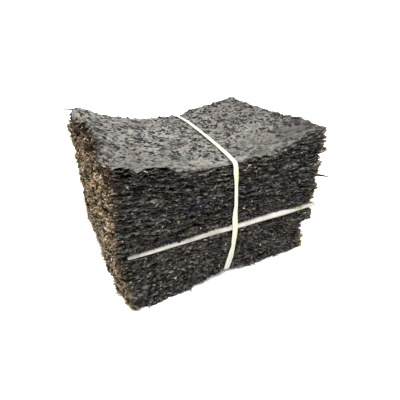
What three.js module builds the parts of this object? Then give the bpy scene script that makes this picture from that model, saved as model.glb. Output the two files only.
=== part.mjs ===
// A tied block of pressed nori sheets: two piles with a white slip sheet between them, held by one flat band.
// Millimetres, +Z up. The sheets' long edge runs along X, the front faces -Y, the block stands on Z = 0.
// Every visible layer of a few sheets pressed together is one thin wavy solid that runs through the block.
import * as THREE from 'three';

// Sheets and piles
const SHEET_LENGTH = 210;
const SHEET_WIDTH = 190;
const LOWER_PILE = 52.8;
const BLOCK_HEIGHT = 117;
const LOWER_LAYERS = 16;
const UPPER_LAYERS = 19;
const LAYER_GAP = 0.35;

// Bow of the upper pile: flat at the slip sheet, its ends lifted most on top. A power near 1 is a sharp
// crease at the band, near 2 a soft sag.
const BOW_LEFT = { front: { lift: 16, power: 1.7 }, back: { lift: 24, power: 2.2 } };
const BOW_RIGHT = { front: { lift: 19, power: 1.6 }, back: { lift: 15, power: 0.85 } };
const RIPPLE = { height: 0.7, length_x: 95, length_y: 119, phase_x: 1.3, phase_y: 0.4 };

// Arch of the lower pile, where the band draws the foot up
const FOOT_ARCH = 3.6;
const FOOT_ARCH_REACH = 45;

// Uneven stacking: how far each side of the block stands off the plain sheet, by stacking height
const LEFT_BELLY = -1.8;
const LEFT_TOP = { front_set_in: 4.2, back_set_in: -1, from: 81, to: 100 };
const LEFT_FOOT = { front_set_in: 5.5, bulge: -0.3, corner: 45, from: 8, to: 48 };
const RIGHT_SET_IN = -1.5;
const RIGHT_TOP_STEP = { from: 98, out: 5 };
const RIGHT_BELLY = { height: 69, half: 9, out: 3.5 };
const RIGHT_FOOT_STEP = { below: 35.5, at_step: -11, at_floor: -5 };
const FRONT_TOP = { set_back: 2.5, from: 85, to: 110 };
const FOOT_SKEW = { forward: -1, turn: 4, from: 20, to: 45 };
const RECESS_OVER_SLIP = { left: 4.5, right: 9.5, fade: 4.5 };

// Ragged rims: two waves along each side of a layer, and a small shift of the whole layer
const RIM_WAVES = [{ size: 0.9, length: 150, spread: 40 }, { size: 0.55, length: 62, spread: 12 }];
const LAYER_SHIFT = 0.7;
const LAYER_SEED = 20;

// White slip sheet between the piles
const SLIP = { length: 206, width: 188, thickness: 0.6, shift_x: 5, shift_y: -2.5, turn_deg: -0.48 };

// Flat band, tied once round the short way
const BAND_WIDTH = 4.5;
const BAND_THICKNESS = 1;
const BAND_CREASE_GAP = 0.9;
const BAND_TUCK = 0.6;
const BAND_BEND = 3;
const BEND_TUCK = 2.6;
const BAND_FRONT_HEAD_X = 4.2;
const BAND_FRONT_FOOT_X = -6.5;
const BAND_FRONT_BEND = { from: -10, to: 46 };
const BAND_BACK_HEAD_X = 25.6;
const BAND_BACK_FOOT_X = 13;
const BAND_PLAN = { run: 150, power: 0.7 };
const BAND_HEAD_Y = -92.6;
const BAND_SLIP_Y = -97.1;
const BAND_FOOT_Y = -93;
const BAND_BACK_Y = 93.4;

// Colours
const NORI_COLOUR = '#3f3b31';
const NORI_HUE_SPREAD = 0.05;
const NORI_LIGHT_SPREAD = 0.03;

// Fineness of the solids
const UPPER_GRID = { columns: 10, rows: 8 };
const LOWER_GRID = { columns: 8, rows: 6 };
const BAND_BEND_STEPS = 4;
const BAND_RUN_STEPS = 10;

const lerp = THREE.MathUtils.lerp;
const smoothstep = THREE.MathUtils.smoothstep;

const SLIP_BOTTOM = LOWER_PILE;
const SLIP_TOP = SLIP_BOTTOM + SLIP.thickness;
const UPPER_FOOT = SLIP_TOP + LAYER_GAP;
const HALF_LENGTH = SHEET_LENGTH / 2;
const HALF_WIDTH = SHEET_WIDTH / 2;

// The band's place in plan: x where it passes at depth y and height z
function bandX(y, z) {
  const upright = smoothstep(z, BAND_FRONT_BEND.from, BAND_FRONT_BEND.to);
  const front = lerp(BAND_FRONT_FOOT_X, BAND_FRONT_HEAD_X, upright);
  const back = lerp(BAND_BACK_FOOT_X, BAND_BACK_HEAD_X, z / BLOCK_HEIGHT);
  const along = THREE.MathUtils.clamp((y + HALF_WIDTH) / BAND_PLAN.run, 0, 1);
  return lerp(front, back, along ** BAND_PLAN.power);
}

// The band's inner face on the front: it runs straight from the top edge to the slip sheet, then to the foot
function bandFrontY(z) {
  if (z > SLIP_TOP) {
    return THREE.MathUtils.mapLinear(z, SLIP_TOP, BLOCK_HEIGHT, BAND_SLIP_Y, BAND_HEAD_Y);
  }
  return THREE.MathUtils.mapLinear(z, 0, SLIP_TOP, BAND_FOOT_Y, BAND_SLIP_Y);
}

// Rise of the topmost surface above the band line, by the share of the way from there to the sheet's end
function topBow(x, y, tie) {
  const side = x < tie ? BOW_LEFT : BOW_RIGHT;
  const reach = x < tie ? HALF_LENGTH + tie : HALF_LENGTH - tie;
  const share = Math.abs(x - tie) / reach;
  const depth = smoothstep(y, -HALF_WIDTH, HALF_WIDTH);
  const lift = lerp(side.front.lift, side.back.lift, depth);
  const power = lerp(side.front.power, side.back.power, depth);
  const rippleX = Math.sin(2 * Math.PI * x / RIPPLE.length_x + RIPPLE.phase_x);
  const rippleY = Math.cos(2 * Math.PI * y / RIPPLE.length_y + RIPPLE.phase_y);
  return lift * share ** power + RIPPLE.height * share * rippleX * rippleY;
}

// Height of the surface that lies at stacking height s under the band
function layerHeight(x, y, s) {
  const tie = bandX(y, s);
  if (s < SLIP_BOTTOM) {
    const arch = FOOT_ARCH * (1 - s / LOWER_PILE);
    return s + arch * (1 - smoothstep(Math.abs(x - tie), 0, FOOT_ARCH_REACH));
  }
  const rise = (s - UPPER_FOOT) / (BLOCK_HEIGHT - UPPER_FOOT);
  return s + rise * topBow(x, y, tie);
}

// Repeatable random draws between -1 and 1
function seededDraws(seed) {
  let state = seed;
  return () => {
    state = (Math.imul(state, 1664525) + 1013904223) >>> 0;
    return state / 2147483648 - 1;
  };
}

// A gentle wave along one side of a layer, its lengths and phases drawn afresh
function rimWave(draw) {
  const waves = RIM_WAVES.map(({ size, length, spread }) => {
    const pace = 2 * Math.PI / (length + spread * draw());
    const phase = Math.PI * draw();
    return (t) => size * Math.sin(pace * t + phase);
  });
  return (t) => waves.reduce((sum, wave) => sum + wave(t), 0);
}

// How far the left side stands off the sheet's end at stacking height s. At its head and foot it is set in at
// the front corner only and stands out a little behind it.
function leftOffset(y, s) {
  const depth = smoothstep(y, -HALF_WIDTH, HALF_WIDTH);
  const head = lerp(LEFT_TOP.front_set_in, LEFT_TOP.back_set_in, depth);
  const topSetIn = head * smoothstep(s, LEFT_TOP.from, LEFT_TOP.to);
  const behindCorner = smoothstep(y, -HALF_WIDTH, -HALF_WIDTH + LEFT_FOOT.corner);
  const foot = lerp(LEFT_FOOT.front_set_in, LEFT_FOOT.bulge, behindCorner);
  return LEFT_BELLY + topSetIn + foot * (1 - smoothstep(s, LEFT_FOOT.from, LEFT_FOOT.to));
}

// The right side steps out at the top, bellies above the slip sheet and steps in at the foot
function rightOffset(s) {
  const step = s > RIGHT_TOP_STEP.from ? RIGHT_TOP_STEP.out : 0;
  const off = Math.abs(s - RIGHT_BELLY.height) / RIGHT_BELLY.half;
  const belly = RIGHT_BELLY.out * (1 - smoothstep(off, 0, 1));
  const low = s < RIGHT_FOOT_STEP.below;
  const foot = low ? lerp(RIGHT_FOOT_STEP.at_floor, RIGHT_FOOT_STEP.at_step, s / RIGHT_FOOT_STEP.below) : 0;
  return RIGHT_SET_IN + step + belly + foot;
}

// The front is skewed at the foot, recessed just over the slip sheet and set back at the top
function frontOffset(x, s) {
  if (s < SLIP_TOP) {
    const skew = FOOT_SKEW.forward + FOOT_SKEW.turn * x / HALF_LENGTH;
    return skew * (1 - smoothstep(s, FOOT_SKEW.from, FOOT_SKEW.to));
  }
  const setBack = FRONT_TOP.set_back * smoothstep(s, FRONT_TOP.from, FRONT_TOP.to);
  const recess = lerp(RECESS_OVER_SLIP.left, RECESS_OVER_SLIP.right, (x + HALF_LENGTH) / SHEET_LENGTH);
  return setBack + recess * Math.exp(-(s - UPPER_FOOT) / RECESS_OVER_SLIP.fade);
}

// Plan of one layer: its four ragged sides, and the points where the band draws its front and back in. The
// outermost layers are drawn in further, to clear the band's bends.
function layerPlan(bottom, top, outermost, draw) {
  const level = (bottom + top) / 2;
  const shiftX = LAYER_SHIFT * draw();
  const shiftY = LAYER_SHIFT * draw();
  const [leftWave, rightWave, frontWave, backWave] = [0, 1, 2, 3].map(() => rimWave(draw));
  const tuck = outermost ? BAND_TUCK + BEND_TUCK : BAND_TUCK;
  const tiedHeights = [bottom, top].map((s) => layerHeight(bandX(-HALF_WIDTH, s), -HALF_WIDTH, s));
  return {
    left: (y) => -HALF_LENGTH + leftOffset(y, level) + shiftX + leftWave(y),
    right: (y) => HALF_LENGTH + rightOffset(level) + shiftX + rightWave(y),
    front: (x) => -HALF_WIDTH + frontOffset(x, level) + shiftY + frontWave(x),
    back: (x) => HALF_WIDTH + shiftY + backWave(x),
    tiedFront: Math.max(...tiedHeights.map(bandFrontY)) + tuck,
    tiedBack: BAND_BACK_Y - tuck,
    level,
  };
}

// Grid point (u, v) of a layer in plan: inner columns fan out from the band line, the rim keeps to the plan
// and is drawn in, never out, at the band
function planPoint(plan, u, v) {
  const row = lerp(-HALF_WIDTH, HALF_WIDTH, v);
  const tie = bandX(row, plan.level);
  const column = u < 0.5 ? lerp(-HALF_LENGTH, tie, 2 * u) : lerp(tie, HALF_LENGTH, 2 * u - 1);
  const tied = u === 0.5;
  let x = column;
  if (u === 0) x = plan.left(row);
  if (u === 1) x = plan.right(row);
  let y = row;
  if (v === 0) y = tied ? Math.max(plan.tiedFront, plan.front(column)) : plan.front(column);
  if (v === 1) y = tied ? Math.min(plan.tiedBack, plan.back(column)) : plan.back(column);
  return [x, y];
}

// Grid points round the rim, anticlockwise from above
function rimPoints({ columns, rows }) {
  const rim = [];
  for (let column = 0; column < columns; column += 1) rim.push([column, 0]);
  for (let row = 0; row < rows; row += 1) rim.push([columns, row]);
  for (let column = columns; column > 0; column -= 1) rim.push([column, rows]);
  for (let row = rows; row > 0; row -= 1) rim.push([0, row]);
  return rim;
}

// One layer: a thin wavy solid, both faces split into the same triangles
function layerGeometry(bottom, top, grid, plan) {
  const { columns, rows } = grid;
  const positions = [];
  for (const s of [bottom, top]) {
    for (let row = 0; row <= rows; row += 1) {
      for (let column = 0; column <= columns; column += 1) {
        const [x, y] = planPoint(plan, column / columns, row / rows);
        positions.push(x, y, layerHeight(x, y, s));
      }
    }
  }
  const lower = (column, row) => row * (columns + 1) + column;
  const upper = (column, row) => lower(column, row) + (columns + 1) * (rows + 1);
  const index = [];
  for (let row = 0; row < rows; row += 1) {
    for (let column = 0; column < columns; column += 1) {
      const cell = [[column, row], [column + 1, row], [column + 1, row + 1], [column, row + 1]];
      const [a, b, c, d] = cell.map((at) => lower(...at));
      const [e, f, g, h] = cell.map((at) => upper(...at));
      index.push(a, c, b, a, d, c, e, f, g, e, g, h);
    }
  }
  const rim = rimPoints(grid);
  rim.forEach((from, k) => {
    const to = rim[(k + 1) % rim.length];
    index.push(lower(...from), lower(...to), upper(...to), lower(...from), upper(...to), upper(...from));
  });
  return solidGeometry(positions, index);
}

function solidGeometry(positions, index) {
  const geometry = new THREE.BufferGeometry();
  geometry.setAttribute('position', new THREE.Float32BufferAttribute(positions, 3));
  geometry.setIndex(index);
  geometry.computeVertexNormals();
  return geometry;
}

// The band's loop seen from the side, as (y, z) points of its inner face, bent round at the block's edges
function bandLoop() {
  const head = BLOCK_HEIGHT + BAND_CREASE_GAP;
  const foot = FOOT_ARCH - BAND_CREASE_GAP;
  const corners = [
    [BAND_BACK_Y, head],
    [BAND_HEAD_Y, head],
    [BAND_SLIP_Y, (SLIP_BOTTOM + SLIP_TOP) / 2],
    [BAND_FOOT_Y, foot],
    [BAND_BACK_Y, foot],
  ].map(([y, z]) => new THREE.Vector2(y, z));
  const loop = [];
  corners.forEach((corner, k) => {
    const before = corners[(k + corners.length - 1) % corners.length];
    const after = corners[(k + 1) % corners.length];
    const inward = before.clone().sub(corner).setLength(BAND_BEND).add(corner);
    const onward = after.clone().sub(corner).setLength(BAND_BEND).add(corner);
    const bend = new THREE.QuadraticBezierCurve(inward, corner, onward);
    loop.push(...bend.getPoints(BAND_BEND_STEPS));
    const nextBend = corner.clone().sub(after).setLength(BAND_BEND).add(after);
    for (let step = 1; step < BAND_RUN_STEPS; step += 1) {
      loop.push(onward.clone().lerp(nextBend, step / BAND_RUN_STEPS));
    }
  });
  return loop;
}

// The band: a flat strip swept round its loop, inner and outer face a thickness apart
function bandGeometry() {
  const loop = bandLoop();
  const path = loop.map((p) => new THREE.Vector3(bandX(p.x, p.y), p.x, p.y));
  const positions = [];
  path.forEach((point, k) => {
    const before = path[(k + path.length - 1) % path.length];
    const after = path[(k + 1) % path.length];
    const along = after.clone().sub(before).normalize();
    const outward = new THREE.Vector3(0, along.z, -along.y).normalize();
    const across = along.clone().cross(outward).normalize().multiplyScalar(BAND_WIDTH / 2);
    const thick = outward.multiplyScalar(BAND_THICKNESS);
    const inner = [point.clone().sub(across), point.clone().add(across)];
    const outer = inner.map((corner) => corner.clone().add(thick));
    for (const corner of [inner[0], inner[1], outer[1], outer[0]]) positions.push(...corner.toArray());
  });
  const index = [];
  path.forEach((point, k) => {
    const next = (k + 1) % path.length;
    for (let side = 0; side < 4; side += 1) {
      const [a, b] = [4 * k + side, 4 * k + (side + 1) % 4];
      const [c, d] = [4 * next + (side + 1) % 4, 4 * next + side];
      index.push(a, c, b, a, d, c);
    }
  });
  return solidGeometry(positions, index);
}

// Pressed laver: near black, its olive and brown tint a little different in every layer
function noriMaterial(draw) {
  const tint = new THREE.Color(NORI_COLOUR);
  tint.offsetHSL(NORI_HUE_SPREAD * draw(), 0, NORI_LIGHT_SPREAD * draw());
  return new THREE.MeshStandardMaterial({ color: tint, roughness: 0.7, metalness: 0 });
}

const PAPER = new THREE.MeshStandardMaterial({ color: '#e4dfd8', roughness: 0.9, metalness: 0 });
const BAND_TAPE = new THREE.MeshStandardMaterial({ color: '#f6f4e6', roughness: 0.5, metalness: 0 });

const block = new THREE.Group();
const draw = seededDraws(LAYER_SEED);

function addPile(pile, foot, head, count, grid) {
  const pitch = (head - foot) / count;
  for (let k = 0; k < count; k += 1) {
    const bottom = foot + k * pitch;
    const top = bottom + pitch - LAYER_GAP;
    const outermost = pile === 'lower' ? k === 0 : k === count - 1;
    const plan = layerPlan(bottom, top, outermost, draw);
    const layer = new THREE.Mesh(layerGeometry(bottom, top, grid, plan), noriMaterial(draw));
    layer.name = `nori_${pile}_${String(k + 1).padStart(2, '0')}`;
    block.add(layer);
  }
}

addPile('lower', 0, LOWER_PILE, LOWER_LAYERS, LOWER_GRID);
addPile('upper', UPPER_FOOT, BLOCK_HEIGHT + LAYER_GAP, UPPER_LAYERS, UPPER_GRID);

const slip = new THREE.Mesh(new THREE.BoxGeometry(SLIP.length, SLIP.width, SLIP.thickness), PAPER);
slip.name = 'slip_sheet';
slip.position.set(SLIP.shift_x, SLIP.shift_y, (SLIP_BOTTOM + SLIP_TOP) / 2);
slip.rotation.z = THREE.MathUtils.degToRad(SLIP.turn_deg);
block.add(slip);

const band = new THREE.Mesh(bandGeometry(), BAND_TAPE);
band.name = 'band';
block.add(band);

// The ragged block is stood with the middle of its own outline over the origin
const outline = new THREE.Box3().setFromObject(block);
const middle = outline.getCenter(new THREE.Vector3());
block.position.set(-middle.x, -middle.y, 0);

export default block;
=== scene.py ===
import math

import bpy
import numpy as np
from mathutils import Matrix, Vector
from mathutils.bvhtree import BVHTree


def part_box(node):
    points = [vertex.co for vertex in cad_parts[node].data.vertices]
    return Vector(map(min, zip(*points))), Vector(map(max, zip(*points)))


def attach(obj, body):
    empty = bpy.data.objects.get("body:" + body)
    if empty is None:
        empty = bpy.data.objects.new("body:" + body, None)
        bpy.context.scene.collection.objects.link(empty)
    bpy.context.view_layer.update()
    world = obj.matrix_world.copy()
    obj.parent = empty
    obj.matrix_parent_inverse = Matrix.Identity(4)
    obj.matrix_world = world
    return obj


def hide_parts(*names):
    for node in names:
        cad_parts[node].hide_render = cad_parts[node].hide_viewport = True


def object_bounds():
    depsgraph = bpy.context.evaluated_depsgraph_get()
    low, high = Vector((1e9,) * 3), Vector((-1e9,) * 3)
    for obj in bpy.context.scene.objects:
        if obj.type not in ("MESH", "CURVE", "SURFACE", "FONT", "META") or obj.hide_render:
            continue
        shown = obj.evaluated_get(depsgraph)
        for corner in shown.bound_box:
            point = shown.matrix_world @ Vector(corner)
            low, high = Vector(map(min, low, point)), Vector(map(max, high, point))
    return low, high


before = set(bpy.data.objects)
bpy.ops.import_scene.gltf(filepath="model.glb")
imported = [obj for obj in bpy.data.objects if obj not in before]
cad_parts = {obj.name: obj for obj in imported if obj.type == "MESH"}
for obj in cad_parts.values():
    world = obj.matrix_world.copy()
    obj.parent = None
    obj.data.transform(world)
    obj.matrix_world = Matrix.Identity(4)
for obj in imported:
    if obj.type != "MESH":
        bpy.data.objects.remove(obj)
cad_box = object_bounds()

MM = 0.001

# Seeds of the random draws, and the range of a random phase
SEEDS = {
    "piles": 11, "top_sheet": 21, "bottom_sheet": 22, "edge_flakes": 31, "end_shreds": 32, "end_wisps": 33,
    "cream_flecks": 34, "end_fringe": 35, "slip_crumbs": 36, "slip_paper": 41, "band_tape": 51,
}
ANY_PHASE = (0, 6.3)

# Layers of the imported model, from the floor up, and the sheets that are drawn in each
LOWER_LAYERS = sorted(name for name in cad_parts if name.startswith("nori_lower_"))
UPPER_LAYERS = sorted(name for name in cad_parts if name.startswith("nori_upper_"))
LAYERS = LOWER_LAYERS + UPPER_LAYERS
SHEET_LENGTH = 210 * MM
SHEETS_PER_LAYER = 4
SHEETS = SHEETS_PER_LAYER * len(LAYERS)
FIRST_UPPER_SHEET = SHEETS_PER_LAYER * len(LOWER_LAYERS)
PILES = [
    ("lower_pile_foot", LOWER_LAYERS[1:8]),
    ("lower_pile_head", LOWER_LAYERS[8:]),
    ("upper_pile_foot", UPPER_LAYERS[:9]),
    ("upper_pile_head", UPPER_LAYERS[9:18]),
]

# Raster on which the layers' faces are read from above and below
PLAN_STEP = 5 * MM
PLAN_MARGIN = 15 * MM
PLAN_X = np.arange(cad_box[0].x - PLAN_MARGIN, cad_box[1].x + PLAN_MARGIN + PLAN_STEP, PLAN_STEP)
PLAN_Y = np.arange(cad_box[0].y - PLAN_MARGIN, cad_box[1].y + PLAN_MARGIN + PLAN_STEP, PLAN_STEP)
PULLS_INWARD = (1, 0.98, 0.96, 0.94, 0.91, 0.88, 0.85, 0.82, 0.78, 0.74, 0.7)
SLOPE_RUN = 0.06
# A face of a layer is part of its rim if its normal points up or down by less than this, and the band
# runs on the front or the back where its way out points there by more than this
RIM_WALL = 0.5
BAND_SIDES = 0.7

# Points along the front, right, back and left side of a sheet's rim
FRONT, RIGHT, BACK, LEFT = range(4)
SIDE_COUNTS = (140, 100, 140, 100)
SIDE_STARTS = [sum(SIDE_COUNTS[:side]) for side in range(4)]
RIM_POINTS = sum(SIDE_COUNTS)
RIM_STEP = 1.67 * MM
CORNER_ROUNDING = 3

# Ragged rims, in millimetres: how far sheets stand out or in, and how their edges ride up and down
RAGGED = {
    "coarse": 0.7, "fine": 0.9, "torn": 1.2, "torn_from": 1.2, "most": 2.6, "evener_ends": 0.4,
    "end_clumps": 1.1, "end_rounding": 2,
}
CORNER_WEAR = {"usual": 1.5, "most": 3.5, "reach": 4.5, "at_floor": 0.4, "full_from_sheet": 12}
SETTLE = {"coarse": 0.6, "fine": 0.4, "curl": 0.45}
SETTLE_BY_SLIP = (0.2, 0.4, 0.7)
# Waves round the rims and along the slip and the band: length in mm, and how many sheets share one
WAVES = {
    "worn": (22, 2.4), "nicked": (4.5, 1.2), "torn": (9, 1), "clumped": (14, 5), "settled": (34, 5),
    "ridden": (9, 1.3), "curled": (8, 1), "frayed": (7, 1), "clouded": (26, 7), "patched": (22, 9),
    "tufted": (8, 1.7), "rubbed": (4, 1), "slip_edge": (30, 1), "band_width": (40, 1),
    "band_patches": (18, 1),
}
STRIP_STEP = 2 * MM
# Rims on the front and the back stay behind the band, in mm: how far they may stand out at it, how much
# more beside it, between which distances that comes in, and from which depth a rim is on the front or
# the back
BAND_ROOM = {"at_band": -0.3, "more": 3, "beside": (2, 9), "depth": 60}
# Gapes between sheets, in mm, how many sheets they keep off the floor and the top, and those that show
# in the front: sheets down from the top, place along X, half length, opening
GAPES = {"count": 110, "half": (7, 26), "opening": (0.7, 1.9), "fade": 3, "from_floor": 4, "from_top": 6}
FRONT_GAPES = [
    (5, -80, 20, 2.2), (9, -58, 26, 2.0), (13, -88, 18, 1.8), (6, -28, 18, 1.6), (17, -45, 22, 1.6),
]
FLOOR_GAP = 0.05 * MM

# Rings of points from a sheet's rim to its middle: share of the way in, rim points to each ring point,
# share of the rim's ups and downs that is left, and thickness
RINGS = [
    (0, 1, 1, 0.22 * MM),
    (0.016, 1, 0.8, 0.42 * MM),
    (0.055, 4, 0.45, 0.42 * MM),
    (0.2, 8, 0, 0.42 * MM),
    (0.5, 16, 0, 0.42 * MM),
    (0.8, 16, 0, 0.42 * MM),
]
UNDERSIDE_RINGS = [RINGS[0]] + RINGS[2:]

# Face sheets: the top sheet's upper face and the bottom sheet's underside are modelled flake by flake.
# Places on a face are shares of the way along it from the left and across it from the front.
TOP_GRID = (240, 216)
UNDER_GRID = (100, 90)
FACE_SHEET_THICKNESS = 1.0 * MM
FACE_RIM_THICKNESS = 0.35 * MM
FACE_ROUNDING = 4
FACE_BACKING = [(0, 1), (0.03, 4), (0.1, 8), (0.25, 8), (0.45, 8), (0.7, 8), (0.9, 8)]
# Plates of torn laver, in mm and radians: how often they cover the face, their size, the notches in
# their edges, turn, tilt and rise, and the share of the ground's relief that shows through
PLATES = {
    "cover": 2.6, "length": 8.5, "spread": 0.35, "range": (4, 16), "slender": (0.55, 0.95), "reach": 1.5,
    "notch": (0.08, 0.25), "turn": 0.8, "tilt_along": 0.03, "tilt_across": 0.04, "rise": (0.08, 0.3),
    "ground": 0.45,
}
# Pits between the plates, in mm and radians, and the depths between which they are painted black, as shade in
# the holes
PITS = {
    "count": 1600, "length": 2.25, "spread": 0.3, "longest": 4, "slender": (0.38, 0.6), "reach": 1.6,
    "strength": (0.95, 1), "turn": (1.57, 0.45), "jag": 0.3, "painted_shadow": (0.15, 0.5),
}
# Share of the pits that a face has: on the top few along the front edge, up to where they fill in, and
# fewer at a calm place, with its half length and half width
PIT_CROWDING = {
    "at_front": 0.2, "fills_in": (0.05, 0.4), "calm": 0.6, "calm_place": (0.72, 0.25),
    "calm_half": (0.1, 0.15), "underside": 0.5,
}
# Fine creases: length in mm, where they break off and how thin they are, by the noise that draws them, and
# how much painted shade they get
CRINKLES = {"length": 7, "broken": (-0.3, 0.9), "thin": 0.2, "shade": 0.45}
# Worn rim of a face: how far in it reaches and how patchy it is, in mm, and where it reaches further or
# less far, each place given by the shares along and across between which it comes in
WEAR = {"reach": 6, "patches": 5, "at_rim": 1.9, "grows": (0.9, 1.9), "dark": 0.8}
WEAR_PLACES = [(-4, (0.2, 0.1), (0.5, 0.7)), (7, (0.7, 0.9), (0.3, 0.1)), (9, (0.86, 0.97), (0.6, 0.3))]
# Relief of a face, in mm, and the share of it that is left at the rim
FACE_RELIEF = {
    "grain": 0.1, "grain_length": 2.2, "swell": 0.2, "swell_length": 9, "pits": 0.85, "crinkles": 0.3,
    "wear": 0.3, "deepest": 0.9, "rim": 4, "at_rim": 0.35,
}
UNDERSIDE_RELIEF = {"down": 0.2, "share": 0.5}
# Curls of the top sheet's back edge, in mm, and the shares along and across between which they come in
RIM_CURL = {"height": 0.8, "length": 5, "reach": 4, "along": (0.97, 0.85), "across": (0.75, 0.95)}

# Left edge of the pile's head, torn in behind its front corner: place along Y and set-in, in mm
TOP_LEFT_EDGE = [
    (-94, 1.5), (-80, 2.1), (-61, -2.2), (-45, 2.9), (-13, 7.6), (43, 11), (58, 7), (69, 1), (95, 1),
]
LEFT_EDGE_REACH = 10 * MM
NOTCHED_SHEETS = 9
# Front edge of the top sheet, where it arches off the sheet below: place along X, half width and lift,
# in mm, and the depths from the edge between which the arches end
TOP_ARCHES = [
    (-92, 7, 4.2), (-66, 12, 4.4), (-43, 9, -1.3), (23, 8, 1.6), (49, 9, -2.8), (74, 8, 2.4), (92, 10, 1.4),
]
TOP_ARCH_ENDS = (11 * MM, 2 * MM)
# Swellings of the top sheet at its ends: place along X and Y, half length and half width, and lift, in mm
TOP_SWELLINGS = [
    (109, -55, 16, 15, 3.2), (-92, 97, 17, 26, 3.4), (15, 97, 20, 14, 1.3), (52, 97, 20, 14, 1.7),
    (107, 84, 10, 13, 3.6), (108, 48, 13, 18, 1.6), (108, -22, 13, 14, -1.5),
]
# Flap of the top sheet that hangs down over the left end at its back corner, in mm: where along Y it
# starts and hangs fully, how sharply it bends and how far it drops
TOP_FLAP = {"starts": 38, "full": 84, "bend": 4.5, "drop": 11}
# The sheets under the flap: how far the uppermost is set in to make room, in mm, and how many are set
# in or bent
UNDER_FLAP = {"room": 8, "set_in": 17, "bent": 12}
# Front edge of the lowest sheets, worn in at one place: along X, half width and set-in, in mm, the
# sheets, and the depth up to which a rim is on the front
FOOT_NOTCH = {"place": -30, "half": 16, "inset": 3.5, "sheets": 9, "front": -80}
# Clumps that stand out of the ends: the end, place along Y and up, half width and height, and reach, in mm
END_CLUMPS = [
    (1, -92, 124, 14, 4, 2.5), (1, -92, 111, 14, 5, 5), (1, -92, 99, 14, 4, 2.5), (-1, -72, 3, 24, 14, 1.8),
]
# Share of the top sheet's arches, droops and swellings that the sheets under it follow, lowest first
FOLLOW_ARCH = (0.35, 0.55, 0.75)
FOLLOW_DROOP = (0.4, 0.7, 1)
FOLLOW_SWELLING = (0.2, 0.45, 0.75)
# Room between the face sheets and those that they cover, at the rim and inside it, where the inner
# rings start, and the share of a place that lies further in
ROOM_AT_RIM = 0.1 * MM
ROOM_INSIDE = 1.4 * MM
INNER_RINGS = 0.05
INNER_GROUND = 0.9

# Crumbled flakes on the sides, in mm and radians: turn from along the rim to straight out, tip up or down.
# FLAKE holds what all kinds share: how far from the band they are pushed behind it, how much darker the
# flakes between the tufts are painted, as shade, how they are bleached, and the painted glints.
CORNER_SPILL = 4
FLAKE = {
    "shortest": 0.9, "widths": (0.5, 1.6), "thick": (0.2, 0.4), "roll": (-0.5, 1.3), "skew": 0.6,
    "proud": (-0.3, 0.6), "scatter": 0.3, "near_band": (7, 3), "behind_band": 2.2, "on_side": 0.5,
    "lit_tufts": (-0.9, 1.1), "bleaches": (0.3, 0.9), "glint": 0.85,
}
CUT_CRUMBS = {
    "sides": (FRONT, BACK), "count": 28000, "length": 1.9, "spread": 0.42, "longest": 6,
    "slender": (0.28, 0.52), "turn": (0, 0.7), "tip": 0.42, "light": 1.8, "even": 0, "glints": 0.035,
    "reach_out": 0, "tufted": 0.35, "tuft_out": 0, "bleached": 0,
}
TORN_SHREDS = {
    "sides": (RIGHT, LEFT), "count": 24000, "length": 2.6, "spread": 0.42, "longest": 7,
    "slender": (0.18, 0.36), "turn": (0, 0.5), "tip": 0.5, "light": 1.05, "even": 0.18, "glints": 0.02,
    "reach_out": 0, "tufted": 0.95, "tuft_out": 0.6, "bleached": 0.7,
}
TORN_FRINGE = {
    **TORN_SHREDS, "count": 6000, "length": 3.2, "spread": 0.4, "longest": 8, "slender": (0.15, 0.3),
    "turn": (1.57, 0.6), "tip": 0.6, "light": 1.5, "even": 0.2, "reach_out": 0.08,
}
# Wisps, in mm and radians: how many stand anywhere on the ends, at the back left corner, off its lowest
# and uppermost sheets, and out of the lowest sheets. The last two kinds are stouter and lighter.
WISPS = 110
CORNER_WISPS = {"count": 130, "points": (-3, 6), "from_floor": 4, "from_top": 16}
FOOT_WISPS = {LEFT: 160, FRONT: 110}
FOOT_WISP_SHEETS = 9
WISP = {
    "length": (2.5, 6), "width": (0.7, 1.4), "stouter": 1.7, "turn": 0.6, "rise": (0.05, 0.35),
    "roll": (0, 6), "root": 1, "droop": 0.2, "aslant": 0.2, "taper": 0.85, "stations": 7, "lit": (0.1, 0.6),
    "lighter": 0.2,
}
# Long wisps, given one by one: side, height, share of the way along the side, length, turn, rise, width
LONG_WISPS = [
    (BACK, 140, 0.97, 18, 1.3, 0.22, 2.6), (RIGHT, 88, 0.02, 19, -0.62, 0.16, 4.5),
    (RIGHT, 104, 0.03, 8, 0.2, 0.3, 3),
]
# Flecks of other weed caught in the rims: place, length, lean and colour. FLECK holds what all share:
# how far they stand out, in mm, and width and thickness as shares of the length
FLECKS = [
    (-60, -95, 21.5, 5, 0.2, "cream"), (-100, -95, 31, 2.2, 0, "cream"), (36.6, -95, 24.7, 2.4, 0.5, "cream"),
    (94, -95, 47, 2.2, 0.3, "cream"), (12, -95, 74, 1.8, -0.2, "cream"), (-33, -95, 66, 1.6, 0.4, "cream"),
    (104, -94, 114, 4, 0.4, "yellow"), (66, 98, 127, 5, 0.6, "olive"), (69, 98, 128, 5, -0.3, "olive"),
    (72, 98, 127, 4, 0.2, "olive"), (21, 98, 118, 6, 0, "olive"),
]
FLECK = {"proud": 0.5, "width": 0.55, "thick": 0.3, "skew": 0.4, "tip": 0.3}

# Band: its real width and thickness, the tape's stations round the loop and points across it
BAND_WIDTH = 4.5 * MM
BAND_THICKNESS = 1.0 * MM
BAND_SAME = 0.02 * MM
BAND_STATIONS = 420
BAND_ACROSS = 13
BAND_ROUNDING = 4
BLOCK_MIDDLE = 0.5 * cad_box[1].z
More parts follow.
